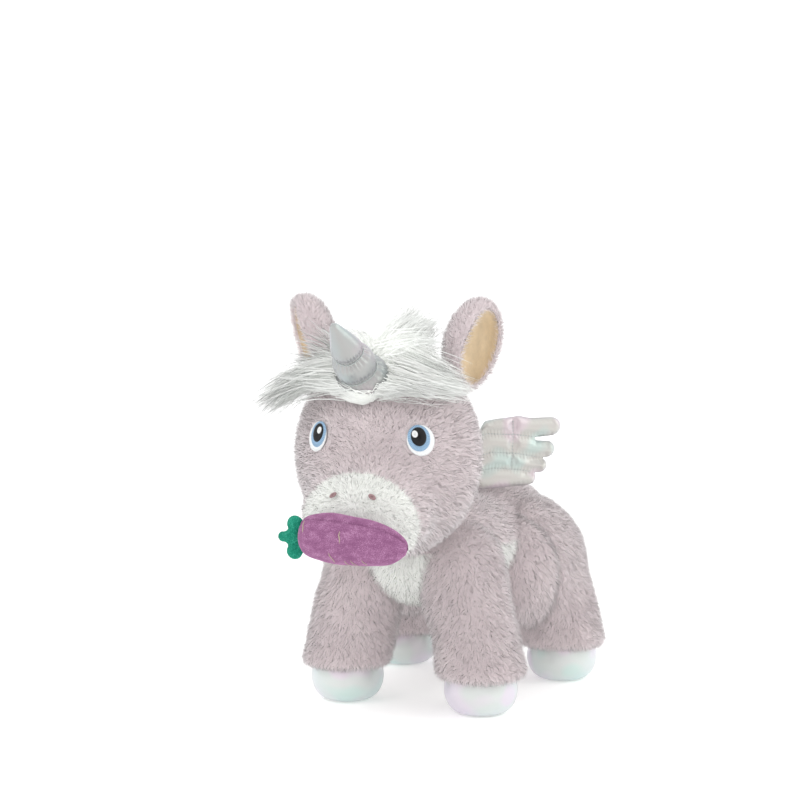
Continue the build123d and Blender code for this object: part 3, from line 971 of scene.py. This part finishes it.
def build_horn_thread():
    """A twisted thread round the horn at each gather: six lines of points round a closed ring."""
    turns, lines = 160, 6
    points, faces = [], []
    for k, place_on_horn in enumerate(HORN_GATHERS):
        angle = np.arange(turns) * 2 * math.pi / turns
        t = gather_line(place_on_horn, angle)
        middle_line = on_horn(horn_radius(t, angle) + 0.25, angle, t)
        ring, along = horn_ring(angle)
        for line in range(lines):
            around = line * math.pi / 3
            r = (0.55 + 0.12 * np.sin(40 * angle + around))[:, None]
            points.append(middle_line + ring * (r * math.cos(around)) + along * (r * math.sin(around)))
        # the last line joins the first
        tube, base = lines * turns, k * lines * turns
        faces += [tuple(base + v % tube for v in face) for face in grid_faces(lines + 1, turns)]
    points = from_head(np.concatenate(points))
    piece("horn_gathering_thread", points, faces, "head", "thread", PALE_THREAD, ("horn_thread",))


# ---- Eyes and nostrils --------------------------------------------------------------------
def stitched_patch(name, spot, way, inner, outer, level, ridges, slot, material, node, spin=0.0):
    """A ring of radial embroidery between two ovals, (across, up, half width, half height), on the head."""
    way = unit(np.asarray(way, float))
    across = unit(np.cross((0, 0, 1.0), way))
    up = np.cross(way, across)
    turns, rows = ridges * 4, 9
    angle = np.arange(turns) * 2 * math.pi / turns
    rings, heights = [], []
    for k in range(rows):
        share = k / (rows - 1)
        a = [i + (o - i) * share for i, o in zip(inner, outer)]
        x = a[0] + a[2] * np.cos(angle)
        z = a[1] + a[3] * np.sin(angle)
        x, z = x * math.cos(spin) - z * math.sin(spin), x * math.sin(spin) + z * math.cos(spin)
        rings.append(spot + across * x[:, None] + up * z[:, None])
        edge = 0.7 * max(0.0, abs(share - 0.5) * 2 - 0.7) / 0.3
        heights.append(level - edge + 0.16 * np.sin(angle * ridges + 0.8 * k))
    flat = np.concatenate(rings)
    height = np.concatenate(heights)
    base = on_head(flat, way, 0.0)
    points = from_head(base + way * height[:, None])
    faces = grid_faces(rows, turns)
    if inner[2] < 0.5:
        faces.append(tuple(range(turns))[::-1])
    obj = make_mesh(name, points, faces)
    # each point's place across a stitch, from groove to crest, for the thread's painted shade and highlight
    ridge = np.tile((np.sin(angle * ridges) + 1) / 2, rows)
    layer = obj.data.attributes.new("pile", "FLOAT_COLOR", "POINT")
    layer.data.foreach_set("color", np.repeat(ridge, 4).astype(np.float32))
    finish_piece(obj, "head", slot, material, (node,))


def build_eyes():
    for name, spot in EYES.items():
        side = 1 if name == "left" else -1
        iris = (0, 0, 10.2, 11.4)
        pupil = (-0.5 * side, 1.4, 7.0, 8.2)
        glint = (-4.0 if side > 0 else 2.6, 3.8, 2.6, 3.1)
        white = (1.9 * side, -2.0, 12.6, 13.3)
        parts = (("eye_white", (0, 0, 9, 10), white, 2.6, 60, "white_thread", WHITE_THREAD),
                 ("iris", (0, 0, 5, 6), iris, 3.2, 44, "blue_thread", BLUE_THREAD),
                 ("pupil", (*pupil[:2], 0.1, 0.1), pupil, 3.9, 34, "black_thread", BLACK_THREAD),
                 ("glint", (*glint[:2], 0.1, 0.1), glint, 4.5, 14, "white_thread", WHITE_THREAD))
        for part, *made_from in parts:
            stitched_patch(f"{name}_stitched_{part}", spot, eye_way(side), *made_from, f"{name}_{part}")
    for side, spot in NOSTRILS.items():
        name = "left_nostril" if side > 0 else "right_nostril"
        stitched_patch(name, spot, NOSTRIL_WAY, (0, 0, 0.1, 0.1), (0, 0, 3.7, 2.1), 4.6, 10, "mauve_thread",
                       NOSE_THREAD, "nostrils", spin=-0.55 * side)


# ---- Ears ---------------------------------------------------------------------------------
EAR_HALF = (27.0, 42.0)          # half width and half height, to the ends of its pile
EAR_MIDDLE_UP = 37.0
EAR_LEAN, EAR_FACES = math.radians(14), math.radians(54)
EAR_PILE = 2.5
EAR_SECTION = ((0, 17), (0.4, 15.5), (0.75, 11), (0.95, 4), (1.0, -2.5), (0.985, -8), (0.93, -10.5),
               (0.87, -8.5), (0.8, -3), (0.62, 3), (0.35, 6.5), (0, 7.5))   # (share of half width, back)
EAR_LINED_FROM = 0.63            # the satin's edge, along the section
EAR_FOLD = 4.5                   # its front edge folds over, so the hollow lies this far back
EAR_BLADE, EAR_LIFT = 6.6, 0.5


def ear_placed(side):
    root = joint_place("left_ear_flop" if side > 0 else "right_ear_flop")

    def to_frame(points):
        points = points * (side, 1, 1)
        points = turn(turn(points, (0, 0, 1), side * EAR_FACES), (0, 1, 0), side * EAR_LEAN)
        return turn(points, (0, 0, 1), HEAD_TURN) + root
    return to_frame


def vertex_normals(points, faces):
    normals = np.zeros_like(points)
    tri = np.array(faces)
    crossed = np.cross(points[tri[:, 1]] - points[tri[:, 0]], points[tri[:, 2]] - points[tri[:, 0]])
    for corner in range(3):
        np.add.at(normals, tri[:, corner], crossed)
    return unit(normals)


def triangles(faces):
    return [t for a, b, c, d in faces for t in ((a, b, c), (a, c, d))]


def ear_grid(side):
    """Rows of points from the middle of the ear's back, over its rim, into its hollow."""
    sides, rows = 96, 84
    section = smooth_profile(EAR_SECTION, rows)
    angle = np.arange(sides) * 2 * math.pi / sides
    half_wide, half_tall = EAR_HALF[0] - EAR_PILE, EAR_HALF[1] - EAR_PILE
    taper = 1 - 0.16 * np.clip(-np.sin(angle), 0, 1) ** 2
    made = []
    for k, (share, back) in enumerate(section):
        share = max(share, 0.004)
        hollow = np.clip((k / (rows - 1) - 0.5) / 0.25, 0, 1)
        x = share * half_wide * np.cos(angle) * taper * (1 - 0.14 * hollow) + EAR_FOLD * hollow
        z = share * half_tall * np.sin(angle) - 2 * hollow + EAR_MIDDLE_UP
        fold = 4.5 * hollow * (1 - hollow) * 4 * np.exp(-((angle - 2.6) / 0.7) ** 2)
        crumple = np.sin(3 * angle + 9 * share) * share + np.sin(5 * angle - 4 * share) * 0.5 * share
        made.append(np.stack([x, np.full(sides, back) - fold + hollow * 0.9 * crumple, z], 1))
    return ear_placed(side)(np.concatenate(made)), grid_faces(rows, sides), rows, sides


def build_ear(name, side):
    points, faces, rows, sides = ear_grid(side)
    if side < 0:
        faces = [face[::-1] for face in faces]
    tri = triangles(faces)
    normals = vertex_normals(points, tri)
    body = f"{name}_ear"
    piece(f"{body}_skin", points, faces, body, "mauve_fur", MAUVE_BACKING, (f"{body}_back",), 0.5)
    lined_row = int(rows * EAR_LINED_FROM)
    furry_tri = [t for t in tri if min(t) < (lined_row + 1) * sides]
    count = int(surface_area(points, furry_tri) * PILE_DENSITY * 1.1)
    roots, shading = scatter(points, furry_tri, count, normals)
    up = ear_placed(side)(np.array(((0, 0, 10.0), (0, 0, 0.0))))
    comb = np.tile(up[0] - up[1], (count, 1)) + RNG.normal(size=(count, 3)) * 3
    outside = head_field(roots) > -8
    roots, shading, comb = roots[outside], shading[outside], comb[outside]
    lengths = np.full(len(roots), EAR_BLADE)
    for part in blades(f"{body}_fur", roots, shading, comb, lengths, EAR_LIFT, nothing(roots)):
        finish_piece(part, body, "mauve_fur", MAUVE)
    first = lined_row * sides
    used = len(points) - first
    outer = points[first:] + normals[first:] * 0.9
    inner = points[first:] + normals[first:] * 0.2
    top = [tuple(v - first for v in face) for face in faces if min(face) >= first]
    bottom = [tuple(v + used for v in reversed(face)) for face in top]
    edge = [(j, (j + 1) % sides, used + (j + 1) % sides, used + j) for j in range(sides)]
    both = np.concatenate([outer, inner])
    lining = piece(f"{body}_satin", both, top + bottom + edge, body, "cream_satin", CREAM, (f"{body}_lining",))
    area = surface_area(outer, triangles(top)) * MM * MM


# ---- Long pile ----------------------------------------------------------------------------
STRAND_RINGS = 8
STRANDS_MORE = 1.7               # how many more strands there are than the locks say


def strands(locks, seed):
    """Lines of long pile. Each lock: (start, by way of, end, spread at start, spread at end, how many)."""
    rng = np.random.default_rng(seed)
    lines, tints = [], []
    for start, way, end, wide, fan, count in locks:
        count = int(count * STRANDS_MORE)
        offset = rng.normal(size=(count, 3)) * 0.5
        a = np.array(start) + offset * wide
        b = np.array(way) + offset * (wide * 0.5 + np.array(fan) * 0.5) + rng.normal(size=(count, 3)) * 1.2
        c = np.array(end) + offset * np.array(fan) + rng.normal(size=(count, 3)) * 2.0
        c = a + (c - a) * rng.uniform(0.62, 1.08, (count, 1))
        t = np.linspace(0, 1, STRAND_RINGS)[None, :, None]
        curve = (1 - t) ** 2 * a[:, None] + 2 * t * (1 - t) * b[:, None] + t ** 2 * c[:, None]
        curl = rng.normal(size=(count, 1, 3)) * np.sin(t * math.pi * 1.5) * 1.3
        lines.append(curve + curl)
        tints.append(rng.random(count) ** 2 * 0.9)
    return np.concatenate(lines), np.concatenate(tints)


def beside_horn(points):
    """Strands that would run through the horn are pushed out beside it."""
    along = HORN_TIP - HORN_BASE
    t = np.clip((points - HORN_BASE) @ along / (along @ along), 0, 1)
    off = points - HORN_BASE - t[:, None] * along
    radius = horn_radius(t, np.zeros(len(t))) + 1.5
    far = np.linalg.norm(off, axis=1)
    return points + off / np.maximum(far, 1e-6)[:, None] * np.maximum(0, radius - far)[:, None]


def hair_piece(name, body, locks, seed, nodes, width, arrange):
    lines, tints = strands(locks, seed)
    count = len(lines)
    flat = arrange(lines.reshape(-1, 3))
    lines = flat.reshape(count, STRAND_RINGS, 3)
    rng = np.random.default_rng(seed + 1)
    way = unit(lines[:, -1] - lines[:, 0])
    outwards = unit(lines[:, STRAND_RINGS // 2] - flat.mean(0) + np.array((0, -20.0, 25.0)))
    across = unit(np.cross(way, outwards + rng.normal(size=(count, 3)) * 0.35))
    widths = width * rng.uniform(0.7, 1.3, count)
    made = ribbons(name, lines, across, widths, outwards, tints, np.zeros(count))
    finish_piece(made, body, "long_white_fur", STRANDS, nodes)


def over_head(points):
    """From the head's axes to the frame, lifted to lie on the head's pile and pushed out of the horn."""
    points = from_head(points)
    lift = np.maximum(0, PILE * 0.5 - head_field(points))
    lifted = points + slope_of(head_field, points) * lift[:, None]
    return from_head(beside_horn(to_head(lifted)))


FORELOCK_LOCKS = (
    # swept to its right, past the edge of the face
    ((-20, -84, 126), (-58, -106, 131), (-104, -98, 99), 12, (7, 9, 11), 240),
    ((-24, -88, 124), (-60, -106, 126), (-100, -97, 90), 10, (6, 8, 11), 220),
    ((-26, -78, 130), (-62, -98, 133), (-92, -90, 112), 11, (8, 9, 10), 180),
    ((-20, -96, 121), (-44, -109, 124), (-70, -105, 121), 8, (9, 6, 7), 200),
    # across the brow under the horn
    ((-16, -102, 115), (-28, -110, 118), (-48, -109, 119), 6, (9, 5, 5), 170),
    ((0, -104, 113), (-10, -112, 114), (-26, -112, 115), 6, (10, 4, 4), 150),
    ((10, -102, 115), (22, -110, 117), (34, -109, 115), 7, (10, 5, 4), 190),
    ((18, -96, 121), (42, -107, 119), (58, -101, 115), 8, (10, 6, 5), 220),
    # swept to its left, thinning out over the fur
    ((20, -86, 127), (50, -104, 122), (80, -70, 112), 13, (8, 12, 8), 240),
    ((24, -76, 134), (54, -88, 128), (84, -60, 112), 13, (7, 12, 8), 170),
    ((18, -66, 142), (44, -78, 140), (70, -62, 124), 13, (9, 12, 10), 190),
    # thin wisps that stand over the right ear's foot
    ((-24, -76, 132), (-46, -80, 146), (-72, -74, 150), 9, (8, 8, 10), 46),
    ((-22, -72, 136), (-40, -76, 152), (-60, -72, 164), 8, (8, 8, 8), 32),
    ((-26, -78, 128), (-50, -86, 138), (-80, -80, 138), 10, (8, 8, 10), 60),
)
MANE_LOCKS = (
    ((4, -62, 146), (12, -56, 160), (26, -44, 172), 13, (10, 10, 8), 200),
    ((14, -54, 147), (24, -46, 160), (40, -38, 170), 13, (10, 10, 8), 200),
    ((0, -44, 148), (8, -34, 162), (20, -22, 180), 12, (9, 10, 9), 150),
    ((12, -70, 142), (30, -66, 150), (48, -52, 152), 13, (8, 10, 7), 190),
    ((-14, -66, 143), (-20, -60, 154), (-34, -52, 156), 12, (9, 10, 7), 120),
    ((0, -30, 147), (4, -12, 158), (10, 6, 152), 15, (12, 10, 9), 190),
    ((0, -12, 142), (2, 8, 144), (4, 24, 126), 15, (13, 8, 12), 190),
    ((0, 6, 132), (0, 26, 124), (0, 34, 98), 15, (13, 6, 14), 180),
    ((0, 18, 112), (0, 34, 98), (0, 38, 72), 14, (12, 5, 14), 150),
)


TAIL_LOCKS = 11


def build_hair():
    hair_piece("forelock_strands", "head", FORELOCK_LOCKS, 51, ("forelock",), 0.8, over_head)
    hair_piece("mane_strands", "head", MANE_LOCKS, 57, ("mane",), 0.8, over_head)
    build_tail()


def build_tail():
    root = joint_place("tail_wag")
    centre = root + np.array((0, 20, -46.0))

    def dock(p):
        return join(ellipsoid(p, centre, (13, 11, 46)), limb(p, root, centre + (0, 0, 20), 8, 10), 8)
    points, faces = wrap(dock, centre, 5)
    piece("tail_core", points, faces, "tail", "long_white_fur", WHITE_BACKING, ("tail",), 0.7)
    locks = []
    for k in range(TAIL_LOCKS):
        angle = k * 2 * math.pi / TAIL_LOCKS
        out = np.array((math.cos(angle), math.sin(angle), 0))
        start = root + out * (6, 5, 0) + (0, 6, -4)
        way = centre + out * (15, 13, 0) + (0, 4, 26)
        end = centre + out * (9, 8, 0) + (2 * math.sin(3 * angle), 0, -48)
        locks.append((start, way, end, 6, (10, 9, 8), 150))
        locks.append((start + (0, 6, -26), way - (0, 0, 22), end - (0, 0, 3), 7, (9, 8, 8), 70))
    hair_piece("tail_strands", "tail", locks, 63, (), 1.0, lambda p: p)


# ---- Wings --------------------------------------------------------------------------------
WING_SWEEP = math.radians(45)
WING_PALM = ((12, 8), (17, 36), (30, 57), (60, 60), (72, 56), (74, 38), (64, 9), (30, 6))
WING_PALM_EDGE = 4.5
# each feather's root, its tip and its two radii
WING_FEATHERS = (((40, 51), (96.5, 53.4), 10.5, 7.8), ((40, 34), (91.0, 31.6), 9.5, 7.2),
                 ((40, 19), (84.0, 16.8), 8.0, 6.2), ((24, 5.5), (73.5, 5.8), 7.5, 5.6))
WING_SEAMS = (((6, 45), (30, 49.5), (60, 47), (92, 42.5)), ((10, 26), (34, 32), (60, 29.5), (86, 24)),
              ((12, 14), (36, 17), (60, 14.5), (79, 10.5)), ((55, 68), (55.5, 48), (54.5, 31), (53, 16)))
WING_HALF_THICK = 7.4


def polygon_distance(p, corners):
    """Signed distance in a plane to a closed outline of straight sides, negative inside."""
    corners = np.array(corners, float)
    nearest = np.full(len(p), 1e9)
    crossings = np.zeros(len(p), bool)
    for a, b in zip(corners, np.roll(corners, -1, axis=0)):
        run = b - a
        t = np.clip((p - a) @ run / (run @ run), 0, 1)
        nearest = np.minimum(nearest, np.linalg.norm(p - a - t[:, None] * run, axis=1))
        spans = (a[1] > p[:, 1]) != (b[1] > p[:, 1])
        crossings ^= spans & (p[:, 0] < run[0] * (p[:, 1] - a[1]) / (run[1] or 1e-9) + a[0])
    return np.where(crossings, -nearest, nearest)


def wing_outline(p):
    outline = polygon_distance(p, WING_PALM) - WING_PALM_EDGE
    for feather in WING_FEATHERS:
        outline = join(outline, limb(p, *feather), 2.0)
    return outline


def hill(distance, middle_at, width):
    """1 at a distance from a seam or edge, and less on both sides of it."""
    return np.exp(-((distance - middle_at) / width) ** 2)


def crowned(edge, width):
    """The rounded height of a stuffed shape, from 0 at its edge to 1 from that width inwards."""
    return np.sqrt(np.clip(1 - (1 - np.clip(edge / width, 0, 1)) ** 2, 0, 1))


def build_wings():
    flat, layer, faces = sewn_pair(wing_outline, (-2, -8), (110, 72), 1.15)
    edge = -wing_outline(flat)
    seams = np.min([near_line(flat, seam) for seam in WING_SEAMS], axis=0)
    quilt = 0.2 + 0.8 * np.clip(seams / 7, 0, 1) ** 0.7
    thick = layer * WING_HALF_THICK * 0.72 * crowned(edge, 9) * quilt
    points = np.stack([flat[:, 0], thick, flat[:, 1]], 1)
    sewn = (seams < 0.8) & (layer != 0)
    points = puff(points, faces, sewn | (flat[:, 0] < 8), 3.0, 0.9, 1.5)
    # small puckers that the thread pulls across each seam
    pucker = np.sin(flat[:, 0] * 1.9 + 2.0 * np.sin(flat[:, 1] * 0.25)) * hill(seams, 2.0, 1.6)
    upright = np.sin(flat[:, 1] * 1.7) * hill(near_line(flat, WING_SEAMS[3]), 2.0, 1.6)
    rim = np.sin(flat[:, 0] * 1.3 + flat[:, 1] * 1.1) * hill(edge, 2.2, 1.4)
    points[:, 1] += layer * (0.38 * pucker + 0.25 * upright + 0.22 * rim)
    stitches, stitch_faces = wing_stitches(points, flat, layer)
    for name, side in (("left", 1), ("right", -1)):
        root = joint_place(f"{name}_wing_flap")

        def to_frame(p):
            return turn(p, (0, 0, 1), WING_SWEEP) * (side, 1, 1) + root
        order = faces if side > 0 else [tuple(reversed(face)) for face in faces]
        body = f"{name}_wing"
        nodes = (f"{body}_cover", f"{body}_padding")
        piece(f"{body}_quilted", to_frame(points), order, body, "wing_satin", WING_PEARL, nodes, 0.7)
        piece(f"{body}_stitches", to_frame(stitches), stitch_faces, body, "thread", PALE_THREAD)


STITCH_LENGTH, STITCH_SPACING = 1.9, 2.9
STITCH_SHAPE = ((0.0, 0.15), (0.25, 0.42), (0.5, 0.5), (0.75, 0.42), (1.0, 0.15))   # (along it, half width)


def wing_stitches(points, flat, layer):
    """Short stitches that lie in the seams of both faces."""
    made, faces = [], []
    for front in (1, -1):
        here = layer == front
        tree = tree_of([(x, z, 0) for x, z in flat[here]])
        depth = points[here][:, 1]
        for seam in WING_SEAMS:
            seam = np.array(seam, float)
            spans = np.linalg.norm(np.diff(seam, axis=0), axis=1)
            total = np.concatenate([[0], np.cumsum(spans)])
            for start in np.arange(1.5, total[-1] - 3, STITCH_SPACING):
                span = (start, start + STITCH_LENGTH)
                ends = np.stack([np.interp(span, total, seam[:, axis]) for axis in (0, 1)], 1)
                if wing_outline(ends).max() > -1:
                    continue
                base = len(made) * 10
                run = unit(ends[1] - ends[0])
                off = np.array((-run[1], run[0]))
                ring = []
                for share, thick in STITCH_SHAPE:
                    spot = ends[0] + (ends[1] - ends[0]) * share
                    under = depth[tree.find((spot[0], spot[1], 0))[1]]
                    level = under + front * (0.1 + 0.45 * math.sin(share * math.pi))
                    for way in (-1, 1):
                        at = spot + off * way * thick
                        ring.append((at[0], level, at[1]))
                made.append(ring)
                for k in range(4):
                    a = base + 2 * k
                    face = (a, a + 1, a + 3, a + 2)
                    faces.append(face if front > 0 else face[::-1])
    return np.array(made).reshape(-1, 3), faces


# ---- Carrot -------------------------------------------------------------------------------
CARROT_TILT = math.radians(4.5)
CARROT_RISE = 1.5                # above the middle of its CAD cover
# half its height, and where along it
CARROT_PROFILE = ((1, -45), (6, -44.7), (12, -42.5), (17.8, -37), (20.8, -27), (21.6, -10), (21, 8),
                  (19.6, 22), (16.6, 34), (12, 43), (6.5, 49), (0.4, 51))
CARROT_FLATNESS = 0.78
# along, up, length and slant of each embroidered mark
CARROT_STITCHES = ((-38, 9, 9, 0.1), (-4, 5, 10, 0.14), (-11, -14, 10, 0.5), (2, -18, 7, 0.6),
                   (8, -17, 8, 0.7), (17, -15, 6, 0.7))
LEAF_ROOT = 9.0                  # radius of each lobe at the crown
LEAF_LOBES = (((-2, 2), (-6, 11), 7.6), ((-4, 0), (-16.5, -1), 4.8), ((-2, -2), (-5, -12), 7.4))


def on_carrot(points):
    """From the carrot's own axes, its crown at -X and its front at -Y, to the frame."""
    tilted = turn(turn(points, (0, 1, 0), CARROT_TILT), (0, 0, 1), HEAD_TURN)
    return tilted + middle("carrot_cover") + (0, 0, CARROT_RISE)


def build_carrot():
    upright, faces = turned(smooth_profile(CARROT_PROFILE, 84) * (0.965, 1), 120)
    points = np.stack([upright[:, 2], -CARROT_FLATNESS * upright[:, 0], upright[:, 1]], 1)
    faces = [face[::-1] for face in faces]
    pinned = (points[:, 0] < -43.8) | (points[:, 0] > 49.8)
    points = puff(points, faces, pinned, 4.0, 1.6, 0.4)
    # the seam that joins its front and back panels, a little in front of the top edge and round the tip
    around = np.arctan2(points[:, 2], -points[:, 1])
    for seam_angle in (math.radians(62), math.radians(-118)):
        off = np.abs(np.angle(np.exp(1j * (around - seam_angle)))) * np.hypot(points[:, 1], points[:, 2])
        pull = hill(off, 0, 1.0) * 1.9 + 0.25 * np.sin(points[:, 0] * 1.5) * hill(off, 2.4, 1.6)
        away = unit(points * (0, 1, 1))
        points = points - away * pull[:, None]
    points += unit(points * (0, 1, 1)) * (0.5 * wave(points, 26.0, 91))[:, None]
    piece("carrot_plush", on_carrot(points), faces, "carrot", "purple_velvet", PURPLE,
          ("carrot_cover", "carrot_filling", "carrot_magnet"), 0.85)
    build_carrot_stitches(points)
    build_leaves()


def build_carrot_stitches(surface):
    """Slightly wavy lines of embroidery on its front."""
    front = surface[surface[:, 1] < 0]
    tree = tree_of([(x, z, 0) for x, _, z in front])
    rings, corners = 14, 6
    points, faces = [], []
    for along, up, length, slant in CARROT_STITCHES:
        base = len(points)
        for k in range(rings):
            s = k / (rings - 1) - 0.5
            x = along + s * length * math.sin(slant) + 0.25 * math.sin(9 * s)
            z = up - s * length * math.cos(slant)
            y = front[tree.find((x, z, 0))[1]][1]
            r = 0.42 * math.cos(s * 2.6) + 0.14 * (k % 2)
            for corner in range(corners):
                around = corner * math.pi / 3
                points.append((x + r * math.cos(around), y - 0.15 + r * math.sin(around), z))
        faces += [tuple(base + v for v in face) for face in grid_faces(rings, corners)]
    piece("carrot_embroidery", on_carrot(np.array(points)), faces, "carrot", "olive_thread", OLIVE_THREAD,
          ("carrot_stitches",))


def build_leaves():
    def outline(p):
        lobes = [limb(p, root, end, LEAF_ROOT, radius) for root, end, radius in LEAF_LOBES]
        return join(join(lobes[0], lobes[1], 3.5), lobes[2], 3.5)
    flat, layer, faces = sewn_pair(outline, (-32, -28), (8, 28), 0.8)
    edge = -outline(flat)
    thick = layer * 4.6 * crowned(edge, 6.5)
    points = puff(np.stack([flat[:, 0], -thick, flat[:, 1]], 1), faces, flat[:, 0] > 0, 4.0, 1.2, 0.3)
    # ribs that fan out from the crown, deep where the lobes are gathered
    angle = np.arctan2(flat[:, 1], 3 - flat[:, 0])
    reach = np.hypot(flat[:, 1], 3 - flat[:, 0])
    ribs = np.cos(angle * 15) * np.clip(1.2 - reach / 26, 0.25, 1) * np.clip(edge / 2.5, 0, 1)
    points[:, 1] -= layer * (0.75 * ribs)
    crown_end = np.array((-43.5, 0, -3.0))
    piece("carrot_leaf_cluster", on_carrot(points + crown_end), faces, "carrot", "teal_velour", TEAL,
          ("carrot_leaves",), 0.6)


build_head()
build_trunk()
build_legs()
build_hooves()
build_horn()
build_eyes()
build_ear("left", 1)
build_ear("right", -1)
build_hair()
build_wings()
build_carrot()

# ---- Room, light and camera ---------------------------------------------------------------
scene = bpy.context.scene
scene.view_settings.view_transform = "Standard"
FLOOR_REACH = 12000
AIM_HEIGHT = Vector((0, 0, 0.18))
LIGHTS = {"key": (-0.7, -1.5, 1.7), "rim": (1.7, 0.5, 1.1)}
LIGHT_SIZE, LIGHT_POWER = 1.2, 9
WORLD_STRENGTH = 1.12


def build_floor():
    corners = [(x * FLOOR_REACH, y * FLOOR_REACH, 0) for x, y in ((-1, -1), (1, -1), (1, 1), (-1, 1))]
    floor = make_mesh("floor", corners, [(0, 1, 2, 3)])
    nodes = Nodes("floor")
    nodes.colour(nodes.ramp(nodes.noise(8.0), [(0.3, (0.83, 0.83, 0.83)), (0.7, (0.85, 0.85, 0.85))]))
    nodes.set(Roughness=0.9, Emission_Color=(1, 1, 1, 1), Emission_Strength=0.32)
    floor.data.materials.append(nodes.material)


def add_light(name, where):
    data = bpy.data.lights.new(name, "AREA")
    data.shape, data.size, data.energy = "SQUARE", LIGHT_SIZE, LIGHT_POWER
    light = bpy.data.objects.new(name, data)
    light.location = where
    light.rotation_euler = (AIM_HEIGHT - Vector(where)).to_track_quat("-Z", "Y").to_euler()
    scene.collection.objects.link(light)


def build_room():
    build_floor()
    world = bpy.data.worlds.new("studio")
    world.use_nodes = True
    colour, strength = world.node_tree.nodes["Background"].inputs[:2]
    colour.default_value = (1, 1, 1, 1)
    strength.default_value = WORLD_STRENGTH
    scene.world = world
    for name, where in LIGHTS.items():
        add_light(name, where)


CAMERA_TURN, CAMERA_RISE, CAMERA_AWAY = math.radians(24.2), math.radians(9.0), 2.2
CAMERA_LENS = 105.1875           # millimetres, on a 36 mm sensor
CAMERA_SHIFT = (-0.061, 0.1245)
AIM = Vector(ORIGIN * MM) + AIM_HEIGHT


def build_camera():
    data = bpy.data.cameras.new("camera")
    camera = bpy.data.objects.new("camera", data)
    scene.collection.objects.link(camera)
    scene.camera = camera
    level = math.cos(CAMERA_RISE)
    back = Vector((math.sin(CAMERA_TURN) * level, -math.cos(CAMERA_TURN) * level, math.sin(CAMERA_RISE)))
    camera.location = AIM + back * CAMERA_AWAY
    camera.rotation_euler = back.to_track_quat("Z", "Y").to_euler()
    data.sensor_width = 36.0
    data.lens = CAMERA_LENS
    data.shift_x, data.shift_y = CAMERA_SHIFT
    data.clip_start, data.clip_end = 0.05, 20


build_room()
build_camera()
